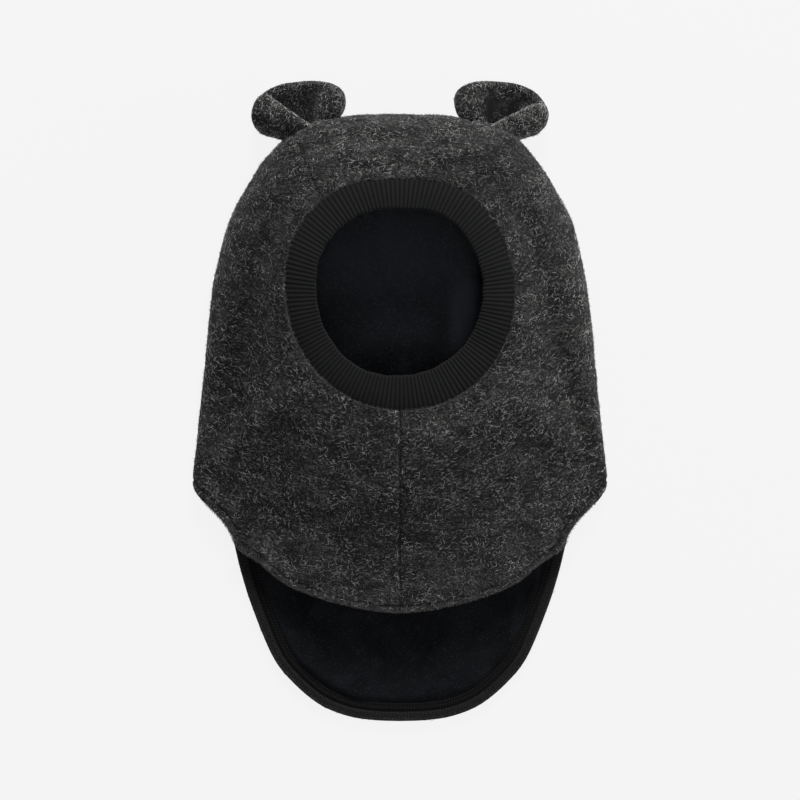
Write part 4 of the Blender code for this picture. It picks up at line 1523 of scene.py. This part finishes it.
@dataclass
class WoolPanels:
    """The three outer panels of boiled wool.

    Attributes:
        sheet: The sheet that they are cut from.
        finishes: The hood's finishes.
        seam_depth: How deep the seams draw in.
        seam_width: Half width of that draw.
        hem_line_depth: How deep the bib's sewn line draws in.
        edge_radius: Rounding of the edge at the face and the hems.
        felt_height: Height of the felt's small lumps.
        creases: Folds of the wool beside the ears and across the crown.
        tones: Painted light and shade: places where the wool is coloured lighter where light falls and
            darker where shade falls.
    """

    sheet: HoodSheet
    finishes: Finishes
    seam_depth: float = 1.5 * MM
    seam_width: float = 1.3 * MM
    hem_line_depth: float = 0.8 * MM
    edge_radius: float = 1.1 * MM
    felt_height: float = 0.25 * MM
    creases: tuple[Crease, ...] = (
        Crease(-0.0560, 0.0925, 27, 0.015, 0.0024, 2.5 * MM),
        Crease(-0.0555, 0.0850, 25, 0.017, 0.0040, -2.0 * MM),
        Crease(0.0433, 0.0850, 92, 0.013, 0.0040, -1.0 * MM),
        Crease(0.0640, 0.0900, 140, 0.012, 0.0040, 0.9 * MM),
        Crease(-0.0100, 0.0970, 2, 0.036, 0.0018, 0.5 * MM),
        Crease(0.0120, 0.0900, -3, 0.040, 0.0024, -0.6 * MM),
        Crease(-0.0180, 0.0835, 3, 0.030, 0.0022, 0.5 * MM),
        Crease(0.0150, 0.0790, -4, 0.024, 0.0024, -0.4 * MM),
    )
    # painted light and shade: lighter on the crown's top and the right edge, darker on the left side and
    # low on the bib
    tones: tuple[Dent, ...] = (
        Dent(-0.66, 0.42, 0.24, 0.22, -0.22),
        Dent(-0.82, 0.02, 0.26, 0.46, -0.26),
        Dent(0.36, 0.62, 0.22, 0.16, -0.20),
        Dent(0.56, 0.70, 0.20, 0.18, -0.18),
        Dent(-0.30, 0.80, 0.40, 0.12, 0.12),
        Dent(0.00, 0.86, 0.62, 0.20, 0.18),
        Dent(0.00, -1.35, 0.85, 0.38, -0.14),
        Dent(0.95, -0.10, 0.14, 0.60, 0.16),
        Dent(0.66, 0.06, 0.16, 0.36, -0.08),
    )

    def outer_face(self) -> np.ndarray:
        """Outer face of the wool, with its seams, edges and lumps."""
        s = self.sheet
        crown = np.where(s.points[:, 1] < 0, 1.0, 0.6)
        crown = crown * smooth_step(0.001, 0.007, s.from_flap_hem)
        depth = crown * self.seam_depth * np.exp(-((s.from_seam / self.seam_width) ** 2))
        depth = depth + self.hem_line_depth * s.sewn_line()
        edge = np.minimum(s.from_face, np.minimum(s.from_bib_hem, s.from_flap_hem))
        depth = np.maximum(depth, rounded(edge, self.edge_radius))
        lumps = self.felt_height * (cloud(s.points, 0.006, 1.3) + 0.5 * cloud(s.points, 0.0032, 6.6))
        free = smooth_step(0.0005, 0.004, s.points[:, 2])
        folds = crease_height(s.points, self.creases) * smooth_step(0.012, 0.020, s.points[:, 2])
        out = s.points - s.normals * (depth - lumps * free - folds)[:, None]
        out[:, 2] = np.maximum(out[:, 2], 0)
        return out

    def build(self, outer: np.ndarray) -> list[Object]:
        """Make the panels, each with its wool.

        Args:
            outer: Every point of the wool's outer face.

        Returns:
            The panels.
        """
        s = self.sheet
        inner = s.points - s.normals * s.pattern.wool
        wool = self.finishes.wool.build()
        cuts = (
            ("wool_crown_panel", "crown_panel", s.in_crown(), (0.20, 0.50)),
            ("wool_side_panel_left", "side_panel_left", s.in_side(Side.LEFT), (0.24, 0.33)),
            ("wool_side_panel_right", "side_panel_right", s.in_side(Side.RIGHT), (0.24, 0.33)),
        )
        made = []
        for name, node, keep, flat in cuts:
            panel = ClothMesh(name, s, keep, outer, inner).build()
            panel.data.materials.append(wool)
            # painted light and shade, stored as tone for the wool and its fibres
            brush(panel, "tone", 1.0, self.tones, s.pattern.head_half_width)
            settle(panel, "wool", node)
            made.append(panel)
        return made


@dataclass
class Fibres:
    """Short curly fibres that lie on the wool and stand off its edges.

    Attributes:
        finishes: The hood's finishes.
        density: Fibres on a square metre.
        length: Length of a middling fibre.
        radius: Half thickness.
        curl: How far a fibre swings.
        curl_size: Size of its swings.
        lift: How far the loosest stand off.
        stray: How far the wildest turn from the wool's grain, in radians.
    """

    finishes: Finishes
    density: float = 480000.0
    length: float = 1.85 * MM
    radius: float = 0.09 * MM
    curl: float = 0.9 * MM
    curl_size: float = 1.2 * MM
    lift: float = 0.8 * MM
    stray: float = 1.9

    def build(self, grounds: list[Object]) -> list[Object]:
        """Grow the fibres of each ground as one piece.

        Args:
            grounds: The panels and the ears.

        Returns:
            The pieces of fibres.
        """
        group = FibreGroup().build()
        plain, light = self.finishes.fibre.build(), self.finishes.ear_fibre.build()
        made = []
        for seed, ground in enumerate(grounds, 11):
            values = {
                "Density": self.density,
                "Length": self.length,
                "Curl": self.curl,
                "Curl Size": self.curl_size,
                "Lift": self.lift,
                "Radius": self.radius,
                "Stray": self.stray,
                "Seed": seed,
                "Material": light if "ear" in ground.name else plain,
            }
            fluff = grow(ground, group, ground.name.replace("wool_", "") + "_fibres", values)
            settle(fluff, "wool")
            made.append(fluff)
        return made


@dataclass
class Lining:
    """The velour lining, with the soft creases that show on the flap.

    Attributes:
        sheet: The sheet that it is cut from.
        finishes: The hood's finishes.
        creases: Ridges of its inner face.
        naps: Painted light and shade on the velour: a painted shadow along the band's right inner edge,
            painted light inside the hood and painted shade low inside it.
    """

    sheet: HoodSheet
    finishes: Finishes
    creases: tuple[Crease, ...] = (
        Crease(-0.040, -0.226, -32, 0.022, 0.0035, 1.6 * MM),
        Crease(-0.052, -0.212, -44, 0.016, 0.0030, 1.1 * MM),
        Crease(0.066, -0.190, 76, 0.024, 0.0030, 1.2 * MM),
        Crease(0.075, -0.185, 76, 0.020, 0.0026, 1.0 * MM),
        Crease(0.036, -0.020, 70, 0.026, 0.0045, 1.0 * MM),
        Crease(-0.020, 0.030, 20, 0.030, 0.0060, 0.7 * MM),
    )
    # painted light and shade: painted light inside the hood, a painted shadow along the band's right inner
    # edge, painted shade at the opening's foot and faintly on the flap
    naps: tuple[Dent, ...] = (
        Dent(0.00, 0.20, 0.60, 0.36, 0.62),
        Dent(0.345, -0.13, 0.07, 0.17, 0.95),
        Dent(0.45, 0.02, 0.04, 0.40, -0.45),
        Dent(-0.05, -0.42, 0.55, 0.18, -0.16),
        Dent(0.10, -1.95, 0.70, 0.30, -0.03),
    )

    def relief(self) -> np.ndarray:
        """Height of the creases and of the nap at every point."""
        points = self.sheet.points
        low = points[:, 2] < 8 * MM
        return 0.12 * MM * cloud(points, 0.014, 2.2) + low * crease_height(points, self.creases)

    def build(self) -> Object:
        """Make the lining."""
        s, p = self.sheet, self.sheet.pattern
        depth = p.wool + p.gap
        outer = s.points - s.normals * depth
        inner = s.points - s.normals * (depth + p.lining + self.relief())[:, None]
        piece = ClothMesh("velour_lining", s, ~s.in_facing(), outer, inner, 0.1 * MM, 2).build()
        # painted light and shade, stored on the lining under the name nap
        brush(piece, "nap", 0.03, self.naps, p.head_half_width)
        piece.data.materials.append(self.finishes.velour.build())
        settle(piece, "lining", "lining")
        return piece


@dataclass
class Hem:
    """The facing inside the hem.

    Attributes:
        sheet: The sheet that it is cut from.
        finishes: The hood's finishes.
        groove_at: Distance of the groove from the hem.
        groove_depth: Depth of the groove.
        groove_width: Half width of the groove.
        edge_radius: Rounding of the edge.
    """

    sheet: HoodSheet
    finishes: Finishes
    groove_at: float = 5.7 * MM
    groove_depth: float = 0.7 * MM
    groove_width: float = 0.5 * MM
    edge_radius: float = 0.6 * MM

    def build(self) -> Object:
        """Make the facing."""
        s, p = self.sheet, self.sheet.pattern
        away = np.minimum(s.from_bib_hem, s.from_flap_hem)
        groove = self.groove_depth * np.exp(-(((away - self.groove_at) / self.groove_width) ** 2))
        lumps = 0.1 * MM * cloud(s.points, 0.004, 4.4)
        thick = p.facing - groove - rounded(away, self.edge_radius) + lumps
        thick = thick - (p.facing - p.lining) * smooth_step(6 * MM, 10 * MM, away)
        depth = p.wool + p.gap
        outer = s.points - s.normals * depth
        inner = s.points - s.normals * (depth + thick)[:, None]
        piece = ClothMesh("stitched_hem_facing", s, s.in_facing(), outer, inner, 0.15 * MM, 2).build()
        piece.data.materials.append(self.finishes.facing.build())
        settle(piece, "facing", "hem_facing")
        return piece


@dataclass(frozen=True)
class StitchRow:
    """A row of stitches along a hem.

    Attributes:
        name: Name of the piece.
        line: The edge that it follows.
        inside: Whether it shows on the inner face.
        away: Distance from the hem.
        spacing: From one stitch to the next.
        length: Length of a stitch.
        slant: Turn from the hem's direction, in degrees.
        radius: Half thickness of the thread.
        wobble: How unevenly it is sewn.
        woolly: Whether it is of loose wool, or else of thread.
    """

    name: str
    line: Line
    inside: bool
    away: float
    spacing: float
    length: float
    slant: float
    radius: float
    wobble: float = 0.12
    woolly: bool = False


@dataclass
class Stitches:
    """All the rows of stitches of the hem.

    Attributes:
        sheet: The sheet whose hems they follow.
        finishes: The hood's finishes.
        arch: How far a stitch stands off the cloth.
        rows: The rows.
    """

    sheet: HoodSheet
    finishes: Finishes
    arch: float = 0.25 * MM
    rows: tuple[StitchRow, ...] = (
        StitchRow("flap_edge_stitches", Line.FLAP, True, 3.2 * MM, 1.7 * MM, 3.8 * MM, 84, 0.17 * MM),
        StitchRow("flap_inner_stitches", Line.FLAP, True, 7.8 * MM, 1.7 * MM, 0.9 * MM, 75, 0.17 * MM),
        StitchRow("flap_lining_stitches", Line.FLAP, True, 9.7 * MM, 1.7 * MM, 0.9 * MM, 75, 0.17 * MM),
        StitchRow(
            "bib_edge_stitches", Line.BIB, False, 2.0 * MM, 1.5 * MM, 2.6 * MM, 88, 0.12 * MM, 0.4, True
        ),
        StitchRow(
            "bib_hem_fringe", Line.BIB, False, 0.6 * MM, 0.45 * MM, 1.9 * MM, 90, 0.08 * MM, 0.75, True
        ),
        StitchRow(
            "bib_hem_under_fringe", Line.BIB, False, 0.2 * MM, 0.6 * MM, 1.8 * MM, 100, 0.08 * MM, 0.9, True
        ),
        StitchRow(
            "face_edge_fringe", Line.FACE, False, 0.3 * MM, 0.5 * MM, 2.0 * MM, 90, 0.08 * MM, 0.8, True
        ),
        StitchRow(
            "flap_hem_fringe", Line.FLAP, True, 1.0 * MM, 0.6 * MM, 1.2 * MM, 90, 0.07 * MM, 0.6, True
        ),
    )

    def path(self, row: StitchRow, outer: np.ndarray, inner: np.ndarray) -> Object:
        """Line of points that a row follows, with the way out of the cloth.

        Args:
            row: The row.
            outer: Every point of the wool's outer face.
            inner: Every point of the facing's inner face.

        Returns:
            The line, as an object that is removed later.
        """
        s = self.sheet
        here = np.flatnonzero(s.stations > s.pattern.shoulder_station + 0.9)
        if row.line is Line.FACE:
            here = np.arange(s.count)
            place = int(np.argmin(np.abs(np.array(s.near_face) - row.away)))
        else:
            distances = np.array(s.near_hem)
            index = int(np.argmin(np.abs(distances - row.away)))
            place = index - len(distances) if row.line is Line.BIB else len(distances) - 1 - index
        table = s.back if row.line is Line.FLAP else s.front
        numbers = table[here, place]
        points = (inner if row.inside else outer)[numbers]
        ways = s.normals[numbers] * (-1 if row.inside else 1)
        data = bpy.data.meshes.new(row.name + "_path")
        edges = [(i, i + 1) for i in range(len(points) - 1)]
        data.from_pydata([tuple(p) for p in points], edges, [])
        store(data, "up", ways)
        return add_object(data.name, data)

    def build(self, outer: np.ndarray, inner: np.ndarray) -> None:
        """Sew every row.

        Args:
            outer: Every point of the wool's outer face.
            inner: Every point of the facing's inner face.
        """
        group = StitchGroup().build()
        thread = self.finishes.thread.build()
        wool = self.finishes.edge_fibre.build()
        for seed, row in enumerate(self.rows, 31):
            path = self.path(row, outer, inner)
            values = {
                "Spacing": row.spacing,
                "Stitch Length": row.length,
                "Thread Radius": row.radius,
                "Arch": self.arch,
                "Slant": math.radians(row.slant),
                "Wobble": row.wobble,
                "Seed": seed,
                "Material": wool if row.woolly else thread,
            }
            piece = grow(path, group, row.name, values)
            bpy.data.objects.remove(path)
            settle(piece, "wool" if row.woolly else "facing")


@dataclass
class RibBand:
    """The ribbed band round the face, folded at its inner edge.

    Attributes:
        sheet: The sheet whose face edge it is sewn to.
        finishes: The hood's finishes.
        ribs: Number of ribs.
        cells: Cells to a rib.
        thickness: Thickness of the folded band.
        set_back: How far its outer edge lies under the wool's face.
        dome: How far its middle rises.
        relief: Height of a rib.
        join_angle: Where its ends are joined, clockwise from the crown.
        join_width: How far its ribs flatten beside that, as a share of a turn.
        wander: How far its inner edge strays.
        edge_drop: How far its sewn edge sinks.
    """

    sheet: HoodSheet
    finishes: Finishes
    ribs: int = RIB_COUNT
    cells: int = 8
    thickness: float = 2.8 * MM
    set_back: float = 0.7 * MM
    dome: float = 2.0 * MM
    relief: float = 0.5 * MM
    join_angle: float = 33.0
    join_width: float = 0.02
    wander: float = 0.5 * MM
    edge_drop: float = 0.5 * MM

    def outline(self, turns: np.ndarray) -> tuple[np.ndarray, np.ndarray, np.ndarray]:
        """Outline of the band.

        Args:
            turns: Places round it, clockwise from the crown, from 0 to 1.

        Returns:
            Its inner radius, outer radius and height at each place.
        """
        s, p = self.sheet, self.sheet.pattern
        edge = s.points[s.front[:, 0]]
        angles = np.degrees(np.arctan2(edge[:, 0], edge[:, 1])) % 360
        order = np.argsort(angles)
        angles, edge = angles[order], edge[order]
        angles = np.concatenate([angles - 360, angles, angles + 360])
        edge = np.concatenate([edge, edge, edge])
        wanted = turns * 360
        reach = np.interp(wanted, angles, np.hypot(edge[:, 0], edge[:, 1]))
        height = np.interp(wanted, angles, edge[:, 2])
        ways = np.radians(wanted)
        ripples = [noise.noise(Vector((9 * math.cos(a), 9 * math.sin(a), 4))) for a in ways]
        inner = p.ring_radius(RIB_INNER, p.face_radius, wanted) + self.wander * np.array(ripples)
        return inner, reach - p.gap, height

    def section(self) -> list[tuple[float, float]]:
        """Closed section of the band: share across, then height in thicknesses."""
        top = [(t, 1.0) for t in (0.0, 0.03, 0.07, 0.13, 0.2, 0.3, 0.42, 0.54, 0.66, 0.78, 0.88, 0.94)]
        fold = [(0.94 + 0.06 * math.sin(a), 0.5 + 0.5 * math.cos(a)) for a in np.linspace(0.5, 2.64, 5)]
        under = [(t, 0.0) for t in (0.94, 0.8, 0.6, 0.4, 0.2, 0.0)]
        return top + fold + under

    def build(self) -> Object:
        """Make the band and raise its ribs."""
        count = self.ribs * self.cells
        turns = np.arange(count) / count
        inner, outer, height = self.outline(turns)
        section = self.section()
        angle = 2 * math.pi * turns
        rows = []
        for across, level in section:
            reach = outer + (inner - outer) * across
            rise = self.dome * math.sin(0.5 * math.pi * min(1.0, 1.6 * across))
            drop = self.edge_drop * math.exp(-((across / 0.04) ** 2))
            z = height - self.set_back + rise - self.thickness * (1 - level) - drop * level
            rows.append(np.stack([reach * np.sin(angle), reach * np.cos(angle), z], axis=1))
        points = np.stack(rows, axis=1)
        many = len(section)
        number = np.arange(count * many).reshape(count, many)
        there = np.roll(number, -1, axis=0)
        after = np.roll(number, -1, axis=1)
        faces = np.stack([number, there, np.roll(there, -1, axis=1), after], axis=-1).reshape(-1, 4)
        data = bpy.data.meshes.new("rib_band_smooth")
        data.from_pydata([tuple(p) for p in points.reshape(-1, 3)], [], [tuple(f) for f in faces])
        store(data, "turn", np.repeat(turns, many))
        self.map_knit(data, turns, section, faces)
        smooth = add_object("rib_band_smooth", data)
        values = {
            "Ribs": float(self.ribs),
            "Relief": self.relief,
            "Join Turn": self.join_angle / 360,
            "Join Width": self.join_width,
            "Material": self.finishes.rib.build(),
        }
        band = grow(smooth, RibGroup().build(), "ribbed_face_band", values)
        bpy.data.objects.remove(smooth)
        settle(band, "rib", "face_rib")
        return band

    def map_knit(self, data: Mesh, turns: np.ndarray, section: list, faces: np.ndarray) -> None:
        """Lay the knit's map: round the band, then across it.

        Args:
            data: The band's mesh.
            turns: Places round the band.
            section: Places across it.
            faces: Points of each face.
        """
        many = len(section)
        turn = faces // many / len(turns)
        wrapped = (turn[:, :1] > 0.9) & (turn < 0.1)
        turn = np.where(wrapped, turn + 1.0, turn)
        across = np.array([s[0] for s in section])[faces % many]
        layer = data.uv_layers.new(name="knit")
        layer.uv.foreach_set("vector", np.stack([turn, across], axis=-1).ravel())


@dataclass
class Ear:
    """One ear: two layers of wool sewn together and folded to a cup.

    Attributes:
        side: Which ear.
        sheet: The sheet that it is sewn to.
        finishes: The hood's finishes.
        width: Width of the cup.
        rise: How far it stands off the crown.
        depth: Depth of the cup.
        thickness: Thickness of both layers.
        angle: Where it is sewn on, from the crown, in degrees.
        inset: How far in from the edge its root's middle is.
        drop: How far under the hood's widest line that is.
        tuck: How deep it goes into its seam.
        along: Cells from root to tip.
        around: Cells round the fold.
        cup_painted_light_and_shade: Painted shade in the cup's hollow and painted light on its lit lobe, by
            rib and by share of the way to the tip.
        lobe_painted_light_and_shade: The same for the outer face, which shows on the folded lobe: a painted
            highlight on its ridge and, on the left ear, a painted shadow across it.
        lobe_painted_brightness: Painted light of that face, far stronger on the right ear.
        rim_painted_highlight: Painted highlight along the rim: how much lighter the rim is coloured.
        fold_drop: How much lower the fold's outer end lies, as a share of the rise.
        rim_width: Width over which the rim rounds away.
        fold_length: Length round the fold, for the rounding of its ends.
    """

    side: Side
    sheet: HoodSheet
    finishes: Finishes
    width: float = 0.0545
    rise: float = 0.034
    depth: float = 0.024
    thickness: float = 4.0 * MM
    angle: float = 28.9
    inset: float = 2.8 * MM
    drop: float = 2.6 * MM
    tuck: float = 1.2 * MM
    along: int = 22
    around: int = 70
    # painted light and shade of each ear's cup and lobe, and the painted highlight of its rim
    cup_painted_light_and_shade: dict[Side, tuple[Dent, ...]] = field(
        default_factory=lambda: {
            Side.LEFT: (
                Dent(8.3, 0.42, 1.5, 0.40, -0.22),
                Dent(9.45, 0.42, 0.45, 0.55, -0.42),
                Dent(8.8, 0.08, 1.3, 0.22, -0.25),
                Dent(11.6, 0.60, 1.3, 0.60, 0.22),
            ),
            Side.RIGHT: (
                Dent(8.5, 0.36, 1.6, 0.40, -0.80),
                Dent(9.8, 0.34, 0.7, 0.40, -0.35),
                Dent(7.3, 0.62, 0.6, 0.30, -0.30),
                Dent(12.2, 0.60, 1.4, 0.60, 0.02),
            ),
        }
    )
    lobe_painted_light_and_shade: dict[Side, tuple[Dent, ...]] = field(
        default_factory=lambda: {
            Side.LEFT: (Dent(0, 0.5, 0.28, 2.0, 0.60), Dent(1.9, 0.30, 0.6, 0.22, -0.60)),
            Side.RIGHT: (Dent(0, 0.5, 0.35, 2.0, 0.30),),
        }
    )
    lobe_painted_brightness: dict[Side, float] = field(
        default_factory=lambda: {Side.LEFT: 1.35, Side.RIGHT: 3.60}
    )
    rim_painted_highlight: float = 1.0
    fold_drop: dict[Side, float] = field(default_factory=lambda: {Side.LEFT: -0.10, Side.RIGHT: 0.075})

    rim_width: float = 3.2 * MM
    fold_length: float = 0.09

    def middle(self, ground: BVHTree) -> np.ndarray:
        """Middle surface of the ear.

        Args:
            ground: The wool that its root is sewn to.

        Returns:
            A row of points, from root to tip, for each rib.
        """
        p = self.sheet.pattern
        reach = float(np.interp(self.angle, p.edge_angles, np.hypot(*p.edge.T))) - self.inset
        turn = math.radians(self.angle)
        height = p.sections(np.array([p.seam_station]))[0, 2] - self.drop
        start = np.array([self.side.value * reach * math.sin(turn), reach * math.cos(turn), height])
        scale = np.array([self.side.value * self.width, self.rise, self.depth])
        ribs = np.linspace(0, len(EAR_RAYS) - 1, self.around + 1)
        rays = smooth_curve(EAR_RAYS, ribs)
        rays[:, EarRay._fields.index("tip_up")] -= self.fold_drop[self.side] * np.exp(-(ribs**2))
        rows = []
        for ray in rays:
            root, tip = start + ray[0:3] * scale, start + ray[3:6] * scale
            way = (root - tip) / np.linalg.norm(root - tip)
            hit = ground.ray_cast(Vector(tip), Vector(way), 0.08)[0]
            if hit is not None:
                root = np.array(hit) + way * self.tuck
            bow = np.array([0, 0, ray[6] * self.depth])
            places = np.linspace(0, 1, self.along + 1)[:, None]
            rows.append(root + (tip - root) * places + bow * 4 * places * (1 - places))
        return np.array(rows)

    def build(self, ground: BVHTree) -> Object:
        """Make the ear.

        Args:
            ground: The wool that its root is sewn to.

        Returns:
            The ear.
        """
        rows = self.middle(ground)
        across = np.gradient(rows, axis=0)
        outwards = np.gradient(rows, axis=1)
        normals = self.side.value * np.cross(across, outwards)
        normals /= np.maximum(np.linalg.norm(normals, axis=2, keepdims=True), 1e-12)
        flat = rows.reshape(-1, 3)
        lumps = 0.7 * MM * cloud(flat, 0.014, 4.0 + self.side.value)
        rows = rows + normals * lumps.reshape(rows.shape[:2])[..., None]
        u = np.linspace(0, 1, rows.shape[0])[:, None]
        v = np.linspace(0, 1, rows.shape[1])[None, :]
        length = np.linalg.norm(rows[:, -1] - rows[:, 0], axis=1)[:, None]
        from_tip = np.minimum((1 - v) * length, np.minimum(u, 1 - u) * self.fold_length)
        plump = np.sqrt(np.clip(1 - (1 - np.clip(from_tip / self.rim_width, 0, 1)) ** 2, 0, 1))
        half = 0.5 * self.thickness * (0.12 + 0.88 * plump)
        felt = 0.2 * MM * cloud(flat, 0.005, 2.0).reshape(half.shape)
        near = rows + normals * (half + felt)[..., None]
        far = rows - normals * (half + felt)[..., None]
        piece = self.stitch("wool_ear_" + self.side.name.lower(), near, far)
        rib = u * (len(EAR_RAYS) - 1)
        # painted light and shade, stored as tone: a painted highlight along the rim, painted light on the
        # lobe and painted shade in the cup's hollow
        rim = self.rim_painted_highlight * np.exp(-((from_tip / self.rim_width) ** 2))
        lobe = self.lobe_painted_brightness[self.side] + patches_at(rib, v, self.lobe_painted_light_and_shade[self.side], 4) + rim
        cup = 1 + patches_at(rib, v, self.cup_painted_light_and_shade[self.side], 4) + rim
        store(piece.data, "tone", np.concatenate([lobe.ravel(), cup.ravel()]))
        piece.data.materials.append(self.finishes.wool.build())
        settle(piece, "wool", "ear_" + self.side.name.lower())
        return piece

    def stitch(self, name: str, near: np.ndarray, far: np.ndarray) -> Object:
        """Join the two layers round their rim.

        Args:
            name: Name of the ear.
            near: Points of the face that shows on the lobe.
            far: Points of the cup's face.

        Returns:
            The ear, without its finish.
        """
        around, along = near.shape[:2]
        number = np.arange(around * along).reshape(around, along)
        cells = np.stack(
            [number[:-1, :-1], number[1:, :-1], number[1:, 1:], number[:-1, 1:]], axis=-1
        ).reshape(-1, 4)
        if self.side is Side.LEFT:
            cells = cells[:, ::-1]
        loop = [*number[:, 0], *number[-1, 1:], *number[-2::-1, -1], *number[0, -2:0:-1]]
        other = around * along
        faces = [tuple(c) for c in cells] + [tuple(c[::-1] + other) for c in cells]
        for a, b in zip(loop, loop[1:] + loop[:1]):
            quad = (b, a, a + other, b + other)
            faces.append(quad if self.side is Side.RIGHT else quad[::-1])
        data = bpy.data.meshes.new(name)
        data.from_pydata([tuple(p) for p in (*near.reshape(-1, 3), *far.reshape(-1, 3))], [], faces)
        data.shade_smooth()
        store(data, "fuzz", np.ones(len(faces)), "FACE")
        store(data, "grain", np.tile((0.4, 1.0, 0.0), (len(data.vertices), 1)))
        return add_object(name, data)


class Lamp(NamedTuple):
    """A soft square lamp.

    Attributes:
        name: Name of the lamp.
        place: Where it hangs.
        size: Length of its side.
        power: Its power in watts.
    """

    name: str
    place: tuple[float, float, float]
    size: float
    power: float


@dataclass
class Studio:
    """Pale floor, soft light and the camera straight above the hood.

    Attributes:
        view_width: Width of the floor that the picture shows.
        view_middle: Y of the picture's middle.
        camera_height: Height of the camera.
        picture_height: Height at which the width is measured.
        floor_reach: How far the floor runs each way.
        floor_glow: Strength of the floor's own light.
        sky_glow: Strength of the sky's light.
        target: Where the lamps point.
        lamps: The lamps.
    """

    view_width: float = 0.468
    view_middle: float = -0.0614
    camera_height: float = 6.0
    picture_height: float = 0.015
    floor_reach: float = 6.0
    floor_glow: float = 0.868
    sky_glow: float = 0.12
    target: tuple[float, float, float] = (0, -0.05, 0.02)
    lamps: tuple[Lamp, ...] = (
        Lamp("key lamp", (0.2, 1.9, 1.15), 0.9, 60.0),
        Lamp("side lamp", (1.9, -0.2, 0.7), 0.8, 15.5),
        Lamp("top lamp", (0.1, -0.3, 3.0), 1.0, 24.0),
    )

    def build(self) -> None:
        """Set up floor, sky, lamps and camera."""
        self.lay_floor()
        self.light()
        data = bpy.data.cameras.new("camera")
        camera = add_object("camera", data)
        camera.location = (0, self.view_middle, self.camera_height)
        data.lens = data.sensor_width * (self.camera_height - self.picture_height) / self.view_width
        data.clip_end = 20
        bpy.context.scene.camera = camera
        bpy.context.scene.view_settings.view_transform = "Standard"

    def lay_floor(self) -> None:
        """A plain pale floor that runs out of sight."""
        data = bpy.data.meshes.new("floor")
        reach = self.floor_reach
        corners = [(x * reach, y * reach, -0.1 * MM) for x, y in ((-1, -1), (1, -1), (1, 1), (-1, 1))]
        data.from_pydata(corners, [], [(0, 1, 2, 3)])
        floor = add_object("floor", data)
        paint = bpy.data.materials.new("pale floor")
        paint.use_nodes = True
        shader = paint.node_tree.nodes["Principled BSDF"]
        for name, value in {
            "Base Color": grey(0.04),
            "Roughness": 1.0,
            "Specular IOR Level": 0.0,
            "Emission Color": grey(1.0),
            "Emission Strength": self.floor_glow,
        }.items():
            shader.inputs[name].default_value = value
        data.materials.append(paint)

    def light(self) -> None:
        """Even white sky and three soft lamps: from the crown, the right and above."""
        world = bpy.data.worlds.new("studio")
        world.use_nodes = True
        sky = world.node_tree.nodes["Background"].inputs
        sky[0].default_value = grey(1.0)
        sky[1].default_value = self.sky_glow
        bpy.context.scene.world = world
        for lamp in self.lamps:
            data = bpy.data.lights.new(lamp.name, "AREA")
            data.size = lamp.size
            data.energy = lamp.power
            made = add_object(lamp.name, data)
            made.location = lamp.place
            way = Vector(self.target) - Vector(lamp.place)
            made.rotation_euler = way.to_track_quat("-Z", "Y").to_euler()


def facing_inner(sheet: HoodSheet) -> np.ndarray:
    """Every point of the facing's inner face."""
    p = sheet.pattern
    return sheet.points - sheet.normals * (p.wool + p.gap + p.facing)


def main() -> None:
    """Build the studio and every piece of the hood, and report each."""
    logging.basicConfig(level=logging.INFO, format="%(name)s: %(message)s")
    Studio().build()
    finishes = Finishes()
    sheet = HoodSheet(HoodPattern())
    LOG.info("sheet: %d cells", len(sheet.cells))
    wool = WoolPanels(sheet, finishes)
    outer = wool.outer_face()
    panels = wool.build(outer)
    ground = BVHTree.FromPolygons(outer.tolist(), sheet.cells.tolist())
    ears = [Ear(side, sheet, finishes).build(ground) for side in Side]
    Lining(sheet, finishes).build()
    Hem(sheet, finishes).build()
    RibBand(sheet, finishes).build()
    Stitches(sheet, finishes).build(outer, facing_inner(sheet))
    Fibres(finishes).build([*panels, *ears])


if __name__ == "__main__":
    main()
